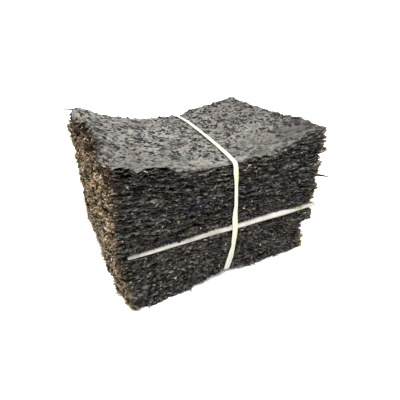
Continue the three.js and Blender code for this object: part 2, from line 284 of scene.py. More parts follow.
# The band's front, from the floor up: height, share of its width, shift along X, in mm, and how yellow
BAND_FRONT = [
    (5, 1.35, 1.1, 0), (13, 1.5, 1.4, 0), (20, 1.5, 1.3, 0.2), (26, 1.3, 0.9, 0.4), (33, 1, 0.6, 0.7),
    (40, 1.15, -0.4, 0.9), (59, 1.3, -0.2, 0.8), (65, 1.25, -0.4, 0.7), (72, 1.02, 0.1, 0.5),
    (78, 0.86, 1, 0.4), (91, 0.76, 0.9, 0.1), (98, 0.68, 0.7, 0), (104, 0.9, 0.7, 0.9), (111, 1.12, 0.1, 1),
    (117, 0.95, 0, 0.2),
]
# The tape's section, in mm: its outer face's rise, crown and ribs, its thickness, the share of that
# which its edges lack, and how uneven its width is
TAPE_FORM = {
    "rise": 0.7, "crown": 0.25, "rib": 0.05, "ribs": 4, "thick": 0.42, "edges_lack": 0.6, "uneven": 0.05,
}
# Crease low on the front: heights between which it ends, place and half width across, depth, the painted
# shade in it and the least of that shade
BAND_CREASE = {
    "from": 28, "to": 48, "place": 0.15, "half": 0.16, "deep": 0.3, "dark": 0.3, "least": 0.4,
}
# The tape's yellow edges, painted as light showing through, and its patches, how yellow it is off the front,
# and how much painted shade darkens it on top
BAND_TINT = {"edge": (0.55, 1), "patches": (-0.8, 1.2), "edge_share": 0.8, "yellow": 0.5, "painted_shade_on_top": 0.2}
# Shares of the way out that point to the front or up between which a station of the band counts as there
FACING = (0.3, 0.8)

# Slip sheet
SLIP_GRID = (68, 62)
SLIP_THICKNESS = 0.45 * MM
SLIP_DUSTY = 1.5 * MM
SLIP_WAVE = {"edge": 0.25 * MM, "face": 0.1 * MM, "length": 30 * MM}
# Its front margin bends down to the edge and the sheets over it ride on the bend, in mm: the bend's
# rise by the place along X, and its shape from the edge inward
SLIP_BEND = [
    (-105, 1.5), (-97, 1.3), (-85, 0.8), (-68, 1.4), (-52, 1.1), (-36, 2.3), (-19, 3.4), (-2, 3.1),
    (27, 3.5), (45, 3.9), (63, 3.4), (82, 1.0), (87, 1.2), (93, 2.2), (103, 2),
]
SLIP_BEND_SHAPE = [(0, 0), (0.7, 0.1), (1.5, 0.4), (2.4, 0.8), (3.2, 1), (4.5, 0.76), (8, 0.4), (22, 0)]
# The sheets over the slip: how far their fronts are drawn out and how far they lie over the bend, in
# mm, how many do so, how frayed they are, and how much further out they stand on the left
SHEETS_OVER_SLIP = {
    "out": 3.8, "over": 0.2, "rows": 12, "fray": 1.1, "front": (0.3, 0.9), "left_more": 0.3,
    "left_fades": (0.45, 0.1),
}

# Crumbs that lie on the slip's bent margin, in mm: how far in from its edge, how long, how far off the
# band, and their lean, lift, width and thickness, the last three as shares of the length
SLIP_CRUMBS = {
    "count": 260, "inward": (2.5, 4.5), "length": (1.4, 3.4), "off_band": 4.5, "lean": (0.2, 0.5),
    "lift": 0.16, "width": 0.5, "thick": 0.2, "skew": 0.5, "tip": 0.5, "light": 1.5,
}
# Bits of other weed there: place along X, how far in, length, lean and colour
SLIP_WEEDS = [
    (-70, 2.7, 3, 0.1, "hay"), (-66, 2.8, 3.2, 0.2, "straw"), (-62, 2.5, 3, -0.3, "hay"),
    (-58, 2.7, 3.6, 0.4, "hay"), (-52.5, 1.8, 4, 1.4, "black"), (-48, 2.7, 3.4, 0.5, "straw"),
    (-44, 2.4, 3, 0.2, "hay"), (-40, 2.7, 3.2, 0.3, "straw"), (79, 3, 4, 0.3, "straw"),
    (82, 2.4, 5, 0.5, "straw"), (84.5, 1.8, 5.5, 0.7, "straw"), (86, 1.2, 5, 0.8, "straw"),
    (88, 2.2, 5, 0.5, "straw"), (91, 3, 4.5, 0.3, "straw"),
]

# Floor and light: half the floor's width, and each soft box's place, aim, size and power
FLOOR_HALF = 4.0
SKY_STRENGTH = 1.15
SOFT_BOXES = {
    "overhead": ((-0.4, -0.3, 1.5), (0, 0, 0.08), 0.9, 45),
    "fill": ((0.9, 0.35, 1.1), (0.12, 0, 0.03), 0.8, 14),
}

# The photograph's camera
CAMERA_PLACE = (-0.13842, -0.32015, 0.22592)
CAMERA_HEADING = 28.13
CAMERA_LOOKS_DOWN = 28.83
CAMERA_LENS = 29.66
CAMERA_SENSOR = 36
CAMERA_SHIFT = (-0.0375, 0.0125)


def linear(hex_colour):
    """An sRGB hex colour as linear red, green and blue."""
    channels = [int(hex_colour[at:at + 2], 16) / 255 for at in (1, 3, 5)]
    return np.array([c / 12.92 if c <= 0.04045 else ((c + 0.055) / 1.055) ** 2.4 for c in channels])


# Colours of the cut long sides
# Near black, darker than the laver itself: painted shade in the pits and on the hidden insides of the sheets
SHADOW_BLACK = linear("#0d0b0a")
CUT_DARK = linear("#1a1715")
CUT_GREY = linear("#7a746d")
CUT_PURPLE = linear("#746a72")
CUT_TEAL = linear("#68726c")
CUT_BLUE = linear("#696c75")
CUT_OLIVE = linear("#7a7762")
# Painted glint: a pale colour given to a few flakes, as if they caught the light
PALE_GLINT = linear("#8a857c")
WEEDS = {
    "cream": linear("#c9bea8"), "yellow": linear("#96863a"), "olive": linear("#4a4a30"),
    "straw": linear("#8a8763"), "black": linear("#141210"), "hay": linear("#b1ad95"),
}
WISP_BROWN = linear("#1d1714")
# Clouds of colour on the cut sides: colour, noise and the noise's sign, where it comes in, and strength
CUT_CLOUDS = [
    (CUT_PURPLE, "clouded", 1, (0.4, 1.6), 0.9), (CUT_TEAL, "clouded", -1, (1.0, 2.0), 0.8),
    (CUT_BLUE, "patched", 1, (1.3, 2.2), 0.8), (CUT_OLIVE, "patched", -1, (0.8, 1.9), 0.9),
]
# Painted shade: the front's dark colour is darker still towards the right
CUT_SHADE_RIGHTWARD = {"rightward": (0.4, 0.95), "share": 0.4}
# Rubbed rims: how light they are and by how much that varies, and how much of that the tufts on the ends
# keep; between the tufts the ends are painted dark, as shade
RUBBED = {"light": 0.2, "varies": 0.25, "on_tufts": 0.7, "tufts": (-0.6, 1.3)}
# Colours of the torn ends
TORN_DARK = linear("#180e05")
TORN_TAN = linear("#cbad80")
TORN_OLIVE = linear("#b3ac69")
TORN_ROSE = linear("#86706d")
TORN_GREY = linear("#8d8273")
BLEACHED = np.array([1.06, 1, 0.91])
# How the ends blend into the long sides, in points of the rim, the shares of the height between which their
# head, olive foot and grey low part come in, and how strong their shades are. The head is painted dark as the
# shadow under the top sheet, and the olive corners are painted lighter, as light falling on them.
ENDS_BLEND = 5
ENDS = {
    "head": (0.84, 0.97), "foot": (0.09, 0.03), "low": (0.4, 0.12), "painted_shadow_head": 0.55, "grey_low": 0.4,
    "rosy": (0.6, 1.7), "rose": 0.8, "lit_corners": 0.4,
}
# Olive patches, most at two corners: the side that starts there, reach in points of the rim, and strength
OLIVE_CORNERS = [(LEFT, 11, 1), (RIGHT, 7, 0.55)]
OLIVE = {
    "grows": (0.8, 1.9), "patches": 0.8, "corners": 1.9, "foot": 1.8, "on_long_sides": 0.6, "on_ends": 0.9,
}
# Greys of a dry face, by the share of it that is darker, and the clouds of colour over them
FACE_RAMP = [
    (0, "#0d0b09"), (0.1, "#201e1b"), (0.25, "#3c3a36"), (0.5, "#524f4c"), (0.75, "#605e5a"),
    (0.9, "#696763"), (1, "#73706b"),
]
FACE_CLOUDS = [(1.07, 0.97, 0.95), (0.99, 1.03, 0.95), (0.95, 1.01, 1.03), (1.05, 1.01, 0.92)]
FACE_CLOUD = {"length": 20, "grows": (1.0, 2.2)}
# What makes a place lighter: its rise over the ground nearby, which paints light on raised flakes and shade
# in the gaps, its plate, and spots, by strength and length in mm
FACE_GRAIN = {"nearby": 6, "rise": 0.55, "plate": 0.8}
FACE_SPOTS = [(0.25, 45), (0.4, 14), (0.4, 4.5), (0.6, 1.9)]
# Calm patches of one grey, most along the front: length in mm, and how they come in
FACE_CALM = linear("#56534e")
CALM = {"length": 30, "front": 1.4, "fades": (0.3, 0.05), "grows": (0, 2), "share": 0.45}
FACE_LEFT_TO_RIGHT = (1.14, 0.97)
# Darker places of a face: place, half length and half width, and how dark
FACE_DARKER_PLACES = [(0.9, 0.12, 0.14, 0.14, 0.5), (0.2, 0.15, 0.25, 0.14, 0.26)]
# Paper and tape
PAPER = linear("#cdc7bf")
PAPER_RIM = linear("#b4aea6")
# Painted shade: the paper is darker towards the right
PAPER_SHADE_LEFT_TO_RIGHT = [(-105, 1.04), (-30, 1.04), (30, 0.86), (75, 0.74), (105, 0.72)]
TAPE = linear("#b6b4a9")
TAPE_YELLOW = linear("#b4b399")
TAPE_EDGE = linear("#b3b48a")


def smoothstep(low, high, value):
    """From 0 at low to 1 at high. It falls where low is the larger of the two."""
    share = np.clip((value - low) / (high - low), 0, 1)
    return share * share * (3 - 2 * share)


def mixed(first, second, share):
    """Colours between two, by a share for each point."""
    share = np.clip(np.asarray(share), 0, 1)[..., None]
    return first + (second - first) * share


def unit(vectors):
    return vectors / np.linalg.norm(vectors, axis=-1, keepdims=True)


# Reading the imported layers

def soften(field):
    """Rounds the facets of a height field: each point takes a share of its neighbours."""
    wide = np.pad(field, 1, mode="edge")
    beside = wide[:-2, 1:-1] + wide[2:, 1:-1] + wide[1:-1, :-2] + wide[1:-1, 2:]
    return (beside + 4 * field) / 8


def face_heights(tree, start, way):
    """Heights of a layer's face over the raster. Past the rim they go on at the slope just inside it."""
    heights = np.empty((len(PLAN_Y), len(PLAN_X)))
    for row, y in enumerate(PLAN_Y):
        for column, x in enumerate(PLAN_X):
            for pull in PULLS_INWARD:
                hit = tree.ray_cast((x * pull, y * pull, start), (0, 0, way))[0]
                if hit is not None:
                    break
            height = hit.z
            if pull < 1:
                further_in = pull - SLOPE_RUN
                inside = tree.ray_cast((x * further_in, y * further_in, start), (0, 0, way))[0]
                height += (height - inside.z) * (1 - pull) / SLOPE_RUN
            heights[row, column] = height
    return soften(soften(heights))


def height_at(field, plan):
    """Height of a face at points in plan."""
    across = np.clip((plan[..., 0] - PLAN_X[0]) / PLAN_STEP, 0, len(PLAN_X) - 1.001)
    deep = np.clip((plan[..., 1] - PLAN_Y[0]) / PLAN_STEP, 0, len(PLAN_Y) - 1.001)
    column, row = across.astype(int), deep.astype(int)
    u, v = across - column, deep - row
    near = field[row, column] * (1 - u) + field[row, column + 1] * u
    far = field[row + 1, column] * (1 - u) + field[row + 1, column + 1] * u
    return near * (1 - v) + far * v


def read_layer(node):
    """One layer: its rim in plan, anticlockwise from the front left corner, and its two faces."""
    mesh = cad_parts[node].data
    points = [tuple(vertex.co) for vertex in mesh.vertices]
    tree = BVHTree.FromPolygons(points, [tuple(face.vertices) for face in mesh.polygons])
    walls = [face for face in mesh.polygons if abs(face.normal.z) < RIM_WALL]
    around = {(round(points[at][0], 6), round(points[at][1], 6)) for face in walls for at in face.vertices}
    rim = np.array(sorted(around))
    rim = rim[np.argsort(np.arctan2(rim[:, 1], rim[:, 0]))]
    corners = [int(np.argmin(rim @ np.array(way))) for way in ((1, 1), (-1, 1), (-1, -1), (1, -1))]
    rim = np.roll(rim, -corners[0], axis=0)
    stops = [(corner - corners[0]) % len(rim) for corner in corners] + [len(rim)]
    return {
        "rim": np.vstack([rim, rim[:1]]),
        "stops": stops,
        "bottom": face_heights(tree, -1, 1),
        "top": face_heights(tree, 1, -1),
    }


def trace(layer, counts):
    """Points evenly spaced along each side of a layer: front, right, back and left."""
    sides = []
    for side, count in enumerate(counts):
        run = layer["rim"][layer["stops"][side]:layer["stops"][side + 1] + 1]
        along = np.r_[0, np.cumsum(np.hypot(*np.diff(run, axis=0).T))]
        spots = np.linspace(0, along[-1], count, endpoint=False)
        sides.append(np.column_stack([np.interp(spots, along, run[:, axis]) for axis in (0, 1)]))
    return np.vstack(sides)


def ways_out(counts, rounding):
    """The way out of the sheet at each point of its rim, turned gradually round the corners."""
    sides = [(0, -1), (1, 0), (0, 1), (-1, 0)]
    ways = np.vstack([np.tile(way, (count, 1)) for way, count in zip(sides, counts)]).astype(float)
    return unit(sum(np.roll(ways, shift, axis=0) for shift in range(-rounding, rounding + 1)))


def ends_share(counts, rounding):
    """1 on the torn ends of the sheets, 0 on the cut long sides."""
    return ways_out(counts, rounding)[:, 0] ** 2


def read_band():
    """The band as stations round its loop: the middle of its inner face, the way out and the way across."""
    corners = np.array([tuple(vertex.co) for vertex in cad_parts["band"].data.vertices])
    apart = np.linalg.norm(corners[:, None] - corners[None], axis=2)
    corners = corners[[at for at in range(len(corners)) if not (apart[at, :at] < BAND_SAME).any()]]
    apart = np.linalg.norm(corners[:, None] - corners[None], axis=2)
    partner = np.abs(apart - BAND_WIDTH).argmin(axis=1)
    pairs = [(a, b) for a, b in enumerate(partner) if corners[a, 0] < corners[b, 0]]
    left = np.array([corners[a] for a, b in pairs])
    right = np.array([corners[b] for a, b in pairs])
    middles = (left + right) / 2
    apart = np.linalg.norm(middles[:, None] - middles[None], axis=2)
    other_face = np.abs(apart - BAND_THICKNESS).argmin(axis=1)
    heart = np.array([0, 0, BLOCK_MIDDLE])
    reach = np.linalg.norm((middles - heart)[:, 1:], axis=1)
    inner = reach < reach[other_face]
    order = np.argsort(np.arctan2(middles[inner, 2] - BLOCK_MIDDLE, middles[inner, 1]))
    out = (middles[other_face] - middles)[inner][order] / BAND_THICKNESS
    across = (right - left)[inner][order] / BAND_WIDTH
    return middles[inner][order], out, across


layers = [read_layer(node) for node in LAYERS]
band_middles, band_out, band_across = read_band()


def off_band(plan, height, way):
    """How far points on the front (way -1) or the back (way 1) of the block are from the band, along X."""
    run = band_middles[band_out[:, 1] * way > BAND_SIDES]
    run = run[np.argsort(run[:, 2])]
    return np.abs(plan[..., 0] - np.interp(height, run[:, 2], run[:, 0]))


# Random waves round the rims

def rim_noise(rng, rows, points, step, wave):
    """Waves round the rims of a pile, each row a sheet. WAVES says how long a wave is and how many sheets
    share it. The spread is 1."""
    length, shared = WAVES[wave]
    pace = np.fft.rfftfreq(points, step)[None, :] * (length * MM)
    climb = np.fft.fftfreq(rows)[:, None] * shared
    keep = np.exp(-(np.pi ** 2) * (pace ** 2 + climb ** 2) / 8)
    waves = np.fft.irfft2(np.fft.rfft2(rng.standard_normal((rows, points))) * keep, (rows, points))
    return waves / waves.std()


def pile_noise(rng, wave):
    return rim_noise(rng, SHEETS, RIM_POINTS, RIM_STEP, wave)


def ragged(rng, rows, counts, step):
    """How far each sheet's rim stands out, in metres: worn waves, fine nicks, a few torn shreds and
    corners rubbed off."""
    points = sum(counts)
    coarse, fine, tears = [rim_noise(rng, rows, points, step, wave) for wave in ("worn", "nicked", "torn")]
    torn = np.maximum(tears - RAGGED["torn_from"], 0)
    stand = RAGGED["coarse"] * coarse + RAGGED["fine"] * fine + RAGGED["torn"] * torn
    ends = ends_share(counts, RAGGED["end_rounding"])
    clumps = RAGGED["end_clumps"] * rim_noise(rng, rows, points, step, "clumped")
    stand = stand * (1 - RAGGED["evener_ends"] * ends) + clumps * ends
    stand = np.clip(stand, -RAGGED["most"], RAGGED["most"])
    at = np.arange(points)
    at_floor = CORNER_WEAR["at_floor"]
    by_row = at_floor + (1 - at_floor) * smoothstep(0, CORNER_WEAR["full_from_sheet"], np.arange(rows))
    for corner in np.cumsum((0,) + tuple(counts[:3])):
        away = np.minimum((at - corner) % points, (corner - at) % points) * step / MM
        wear = np.clip(CORNER_WEAR["usual"] * np.abs(rng.standard_normal((rows, 1))), 0, CORNER_WEAR["most"])
        stand = stand - wear * by_row[:, None] * np.exp(-(away / CORNER_WEAR["reach"]) ** 2)
    return stand * MM


def clear_of_band(stand, plan, height):
    """Keeps the rims on the front and the back behind the band."""
    for way in (-1, 1):
        beside = smoothstep(*BAND_ROOM["beside"], off_band(plan, height, way) / MM)
        room = (BAND_ROOM["at_band"] + BAND_ROOM["more"] * beside) * MM
        stand = np.where(plan[..., 1] * way > BAND_ROOM["depth"] * MM, np.minimum(stand, room), stand)
    return stand


def gaping(rng):
    """How far sheets part here and there, in mm: those above a gape bend up, those below it bend down."""
    gapes = []
    for _ in range(GAPES["count"]):
        first_above = rng.integers(GAPES["from_floor"], SHEETS - GAPES["from_top"])
        spot = first_above, rng.uniform(0, RIM_POINTS)
        gapes.append((*spot, rng.uniform(*GAPES["half"]), rng.uniform(*GAPES["opening"])))
    for down, x, half, opening in FRONT_GAPES:
        gapes.append((SHEETS - down, (x * MM / SHEET_LENGTH + 0.5) * SIDE_COUNTS[FRONT], half, opening))
    row, at = np.arange(SHEETS)[:, None] + 0.5, np.arange(RIM_POINTS)[None, :]
    shift = np.zeros((SHEETS, RIM_POINTS))
    for first_above, middle, half, opening in gapes:
        away = np.abs((at - middle + RIM_POINTS / 2) % RIM_POINTS - RIM_POINTS / 2) * RIM_STEP / MM
        bend = np.sign(row - first_above) * np.exp(-np.abs(row - first_above) / GAPES["fade"])
        shift = shift + opening / 2 * bend * np.exp(-((away / half) ** 4))
    return shift


def settling(rng):
    """How far each sheet's rim rides up or down, in metres: least where the slip sheet holds it flat."""
    coarse, fine = pile_noise(rng, "settled"), pile_noise(rng, "ridden")
    settle = SETTLE["coarse"] * coarse + SETTLE["fine"] * fine + gaping(rng)
    curl = SETTLE["curl"] * pile_noise(rng, "curled")
    for away, share in enumerate(SETTLE_BY_SLIP):
        for row in (FIRST_UPPER_SHEET + away, FIRST_UPPER_SHEET - 1 - away):
            settle[row] *= share
            curl[row] *= share
    return settle * MM, curl * MM


def rim_shades(rng):
    """The darkest and lightest colour and the share of olive at each point of the rims. The long sides are
    near black with grey edges and faint clouds of purple, teal, blue and olive. The ends are brown and tan,
    with olive patches, most at the corners, and greyer at the foot."""
    noise = {wave: pile_noise(rng, wave) for wave in ("clouded", "patched")}
    light = CUT_GREY
    for colour, wave, sign, comes_in, strength in CUT_CLOUDS:
        light = mixed(light, colour, strength * smoothstep(*comes_in, sign * noise[wave]))
    at = np.arange(RIM_POINTS)
    corner = np.zeros(RIM_POINTS)
    for side, reach, strength in OLIVE_CORNERS:
        corner = corner + strength * np.exp(-((at - SIDE_STARTS[side]) / reach) ** 2)
    up = np.arange(SHEETS)[:, None] / SHEETS
    head, foot, low = [smoothstep(*ENDS[part], up) for part in ("head", "foot", "low")]
    patches = OLIVE["patches"] * noise["patched"] * (head - 1)
    olive = smoothstep(*OLIVE["grows"], patches + OLIVE["corners"] * corner + OLIVE["foot"] * foot)
    light = mixed(light, TORN_OLIVE, OLIVE["on_long_sides"] * olive * corner)
    torn = mixed(TORN_TAN, TORN_ROSE, ENDS["rose"] * smoothstep(*ENDS["rosy"], noise["clouded"]))
    torn = mixed(torn, TORN_GREY, ENDS["grey_low"] * np.tile(low, RIM_POINTS))
    torn = mixed(torn, TORN_OLIVE, OLIVE["on_ends"] * olive)
    # Painted shadow: the ends' head darkened as if under the top sheet
    torn = mixed(torn, TORN_DARK, ENDS["painted_shadow_head"] * head * (1 - corner))
    # Painted light: the ends lighter at the olive corners
    torn = torn * (1 + ENDS["lit_corners"] * corner)[None, :, None]
    ends = ends_share(SIDE_COUNTS, ENDS_BLEND)[None, :]
    rightward = np.where(at < SIDE_STARTS[RIGHT], at / SIDE_COUNTS[FRONT], 0)
    # Painted shade: the front darker towards the right
    darker = CUT_SHADE_RIGHTWARD["share"] * smoothstep(*CUT_SHADE_RIGHTWARD["rightward"], rightward)
    dark = mixed(CUT_DARK, TORN_DARK, ends) * (1 - darker)[None, :, None]
    return dark + np.zeros_like(torn), mixed(light, torn, ends), olive


# Nori sheets

def stitch(outer, inner):
    """Triangles between two closed rings of points, anticlockwise from above."""
    at = np.arange(len(outer))
    here = at * len(inner) // len(outer) % len(inner)
    there = (at + 1) * len(inner) // len(outer) % len(inner)
    onward = np.roll(outer, -1)
    strip = np.column_stack([outer, onward, inner[there]])
    wedge = np.column_stack([outer, inner[there], inner[here]])[here != there]
    return np.vstack([strip, wedge])


def fan(ring, middle):
    return np.column_stack([ring, np.roll(ring, -1), np.full(len(ring), middle)])


def wall(lower, upper):
    """Triangles of the edge between a sheet's two faces, turned out."""
    lower_on, upper_on = np.roll(lower, -1), np.roll(upper, -1)
    rising = np.column_stack([lower, lower_on, upper_on])
    falling = np.column_stack([lower, upper_on, upper])
    return np.vstack([rising, falling])


def ring_face(counts, start):
    """Triangles of a face made of rings and a middle point, and the numbers of its first ring."""
    rings = []
    for count in counts:
        rings.append(np.arange(start, start + count))
        start += count
    strips = [stitch(outer, inner) for outer, inner in zip(rings, rings[1:])]
    return np.vstack(strips + [fan(rings[-1], start)]), rings[0], start + 1


def raster_face(rows, columns):
    """Triangles of a raster of points, seen from above, and the numbers round its rim."""
    number = np.arange(rows * columns).reshape(rows, columns)
    a, b = number[:-1, :-1].ravel(), number[:-1, 1:].ravel()
    c, d = number[1:, 1:].ravel(), number[1:, :-1].ravel()
    rim = np.r_[number[0, :-1], number[:-1, -1], number[-1, :0:-1], number[:0:-1, 0]]
    return np.vstack([np.column_stack([a, b, c]), np.column_stack([a, c, d])]), rim


def ring_points(layer, rim, share, settle, rings, way):
    """Points of one face of a sheet, ring by ring to its middle. way is 1 for the upper face, -1 below."""
    middle = rim.mean(axis=0)
    points = []
    for inset, step, rest, thickness in rings + [(1, len(rim), 0, rings[-1][3])]:
        plan = rim[::step] + (middle - rim[::step]) * inset
        low, high = height_at(layer["bottom"], plan), height_at(layer["top"], plan)
        height = low + (high - low) * share + settle[::step] * rest + way * thickness / 2
        points.append(np.column_stack([plan, height]))
    return points


def make_piece(name, parts, material, nodes, smooth=False):
    """A mesh object that rides on the block and stands for some of its solids."""
    points, faces, tints = parts
    mesh = bpy.data.meshes.new(name)
    mesh.vertices.add(len(points))
    mesh.vertices.foreach_set("co", np.ascontiguousarray(points, dtype=np.float32).ravel())
    mesh.loops.add(3 * len(faces))
    mesh.loops.foreach_set("vertex_index", np.ascontiguousarray(faces, dtype=np.int32).ravel())
    mesh.polygons.add(len(faces))
    mesh.polygons.foreach_set("loop_start", np.arange(0, 3 * len(faces), 3, dtype=np.int32))
    mesh.polygons.foreach_set("use_smooth", np.full(len(faces), smooth))
    mesh.update(calc_edges=True)
    shades = mesh.attributes.new("tint", "FLOAT_COLOR", "POINT")
    rgba = np.column_stack([tints, np.ones(len(tints))]).astype(np.float32)
    shades.data.foreach_set("color", rgba.ravel())
    mesh.materials.append(material)
    piece = bpy.data.objects.new(name, mesh)
    bpy.context.scene.collection.objects.link(piece)
    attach(piece, "root")
    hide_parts(*nodes)


def joined(parts):
    """Several (points, faces, tints) as one."""
    starts = np.cumsum([0] + [len(points) for points, faces, tints in parts])
    return (
        np.vstack([points for points, faces, tints in parts]),
        np.vstack([faces + start for (points, faces, tints), start in zip(parts, starts)]),
        np.vstack([tints for points, faces, tints in parts]),
    )


def top_notch(plan):
    """How far the left edge of the pile's head is set in."""
    at, inset = np.array(TOP_LEFT_EDGE).T
    on_left = plan[:, 0] < layers[-1]["rim"][:, 0].min() + LEFT_EDGE_REACH
    return np.where(on_left, np.interp(plan[:, 1] / MM, at, inset) * MM, 0)


def flap_drop(plan):
    """How far the top sheet's flap hangs down."""
    at, inset = np.array(TOP_LEFT_EDGE).T
    edge = layers[-1]["rim"][:, 0].min() / MM + np.interp(plan[..., 1] / MM, at, inset)
    from_edge = np.maximum(plan[..., 0] / MM - edge, 0)
    share = smoothstep(TOP_FLAP["starts"], TOP_FLAP["full"], plan[..., 1] / MM)
    return TOP_FLAP["drop"] * MM * share * np.exp(-(from_edge / TOP_FLAP["bend"]) ** 2)


def foot_notch(plan):
    """How far the front edge of the lowest sheets is worn in."""
    off = (plan[:, 0] / MM - FOOT_NOTCH["place"]) / FOOT_NOTCH["half"]
    return np.where(plan[:, 1] < FOOT_NOTCH["front"] * MM, FOOT_NOTCH["inset"] * MM * np.exp(-off ** 4), 0)


def end_clumps(plan, height):
    """How far the clumps in the torn ends stand out."""
    reach = np.zeros(len(plan))
    for end, y, z, half_y, half_z, out in END_CLUMPS:
        off = ((plan[:, 1] / MM - y) / half_y) ** 2 + ((height / MM - z) / half_z) ** 2
        reach = reach + out * MM * np.exp(-off) * np.maximum(WAYS_OUT[:, 0] * end, 0)
    return reach


def top_arches(plan):
    """How far the top sheet arches off the pile along its front edge, or droops where it is negative."""
    x, y = plan[..., 0] / MM, plan[..., 1]
    front = layers[-1]["rim"][:, 1].min()
    near_front = smoothstep(*TOP_ARCH_ENDS, y - front)
    arches = [lift * np.exp(-((x - place) / half) ** 4) for place, half, lift in TOP_ARCHES]
    return near_front * MM * sum(arches)


def top_swellings(plan):
    """How far the top sheet swells up or bends down at its ends."""
    lift = np.zeros(plan.shape[:-1])
    for x, y, half_x, half_y, height in TOP_SWELLINGS:
        off = ((plan[..., 0] / MM - x) / half_x) ** 2 + ((plan[..., 1] / MM - y) / half_y) ** 2
        lift = lift + height * MM * np.exp(-off)
    return lift


def top_lift(plan):
    return top_arches(plan) + top_swellings(plan) - flap_drop(plan)


def behind_faces(row, ring, inset):
    """Heights of a ring of points, held clear of the face sheets that cover the pile: by more well inside the
    rim, where a sheet is flat from ring to ring."""
    plan, height = ring[:, :2], ring[:, 2]
    inner = inset > INNER_RINGS
    clear = FACE_SHEET_THICKNESS + (ROOM_INSIDE if inner else ROOM_AT_RIM)
    if SHEETS - SHEETS_PER_LAYER <= row < SHEETS - 1:
        lift = np.minimum(top_lift(plan), top_lift(plan * INNER_GROUND)) if inner else top_lift(plan)
        height = np.minimum(height, height_at(layers[-1]["top"], plan) + lift - clear)
    if 0 < row < SHEETS_PER_LAYER:
        height = np.maximum(height, height_at(layers[0]["bottom"], plan) + clear)
    return height


def nori_sheet(row):
    """One sheet in its place in the pile, as (points, faces, tints), and its rim."""
    layer = layers[row // SHEETS_PER_LAYER]
    share = (row % SHEETS_PER_LAYER + 0.5) / SHEETS_PER_LAYER
    plan = trace(layer, SIDE_COUNTS)
    height = height_at(layer["bottom"], plan)
    stand = clear_of_band(stand_out[row], plan, height) + end_clumps(plan, height)
    under_top = SHEETS - 1 - row
    notch = top_notch(plan) * max(0, 1 - under_top / NOTCHED_SHEETS)
    room = UNDER_FLAP["room"] * smoothstep(0, TOP_FLAP["drop"] * MM, flap_drop(plan)) * MM
    room = room * np.abs(WAYS_OUT[:, 0]) * max(0, 1 - under_top / UNDER_FLAP["set_in"])
    stand = stand - np.maximum(notch, room)
    stand = stand - foot_notch(plan) * max(0, 1 - row / FOOT_NOTCH["sheets"])
    rim = plan + WAYS_OUT * stand[:, None]
    settle = settle_all[row]
    in_top_layer = row - (SHEETS - SHEETS_PER_LAYER)
    if 0 <= in_top_layer < len(FOLLOW_ARCH):
        arch = top_arches(rim)
        follow = np.where(arch > 0, FOLLOW_ARCH[in_top_layer], FOLLOW_DROOP[in_top_layer])
        settle = settle + follow * arch + FOLLOW_SWELLING[in_top_layer] * top_swellings(rim)
    settle = settle - flap_drop(rim) * max(0, 1 - under_top / UNDER_FLAP["bent"])
    upper = ring_points(layer, rim, share, settle, RINGS, 1)
    lower = ring_points(layer, rim, share, settle, UNDERSIDE_RINGS, -1)
    upper[0][:, 2] += curl_all[row]
    lower[0][:, 2] += curl_all[row]
    for rings, face in ((RINGS, upper), (UNDERSIDE_RINGS, lower)):
        insets = [ring[0] for ring in rings] + [1]
        for inset, ring in zip(insets, face):
            ring[:, 2] = behind_faces(row, ring, inset)
    upper_faces, upper_rim, after = ring_face([len(ring) for ring in upper[:-1]], 0)
    lower_faces, lower_rim, after = ring_face([len(ring) for ring in lower[:-1]], after)
    faces = np.vstack([upper_faces, lower_faces[:, ::-1], wall(lower_rim, upper_rim)])
    points = np.vstack(upper + lower)
    points[:, 2] = np.maximum(points[:, 2], FLOOR_GAP)
    # The sheets' inner rings are painted near black as shade, so the gaps between sheets read dark
    tints = np.tile(SHADOW_BLACK, (len(points), 1))
    tints[:2 * RIM_POINTS] = np.vstack([rim_tints[row], rim_tints[row]])
    tints[lower_rim] = rim_tints[row]
    return (points, faces, tints), (upper[0] + lower[0]) / 2


# Face sheets

def blurred(field, step, length):
    """A face raster blurred over about length metres."""
    along = np.fft.rfftfreq(field.shape[1], step)[None, :]
    deep = np.fft.fftfreq(field.shape[0], step)[:, None]
    keep = np.exp(-((np.pi * np.hypot(along, deep) * length) ** 2) / 8)
    return np.fft.irfft2(np.fft.rfft2(field) * keep, field.shape)


def face_noise(rng, shape, step, length):
    """Cloudy noise over a face raster, about length metres from cloud to cloud, with a spread of 1."""
    clouds = blurred(rng.standard_normal(shape), step, length)
    return clouds / clouds.std()


def window(shape, row, column, reach):
    """The part of a raster within reach of a spot, and the rows and columns off the spot there."""
    rows = slice(max(int(row) - reach, 0), min(int(row) + reach + 1, shape[0]))
    columns = slice(max(int(column) - reach, 0), min(int(column) + reach + 1, shape[1]))
    down, across = np.mgrid[rows, columns]
    return (rows, columns), down - row, across - column


def turned(dx, dy, angle):
    return dx * math.cos(angle) + dy * math.sin(angle), dy * math.cos(angle) - dx * math.sin(angle)


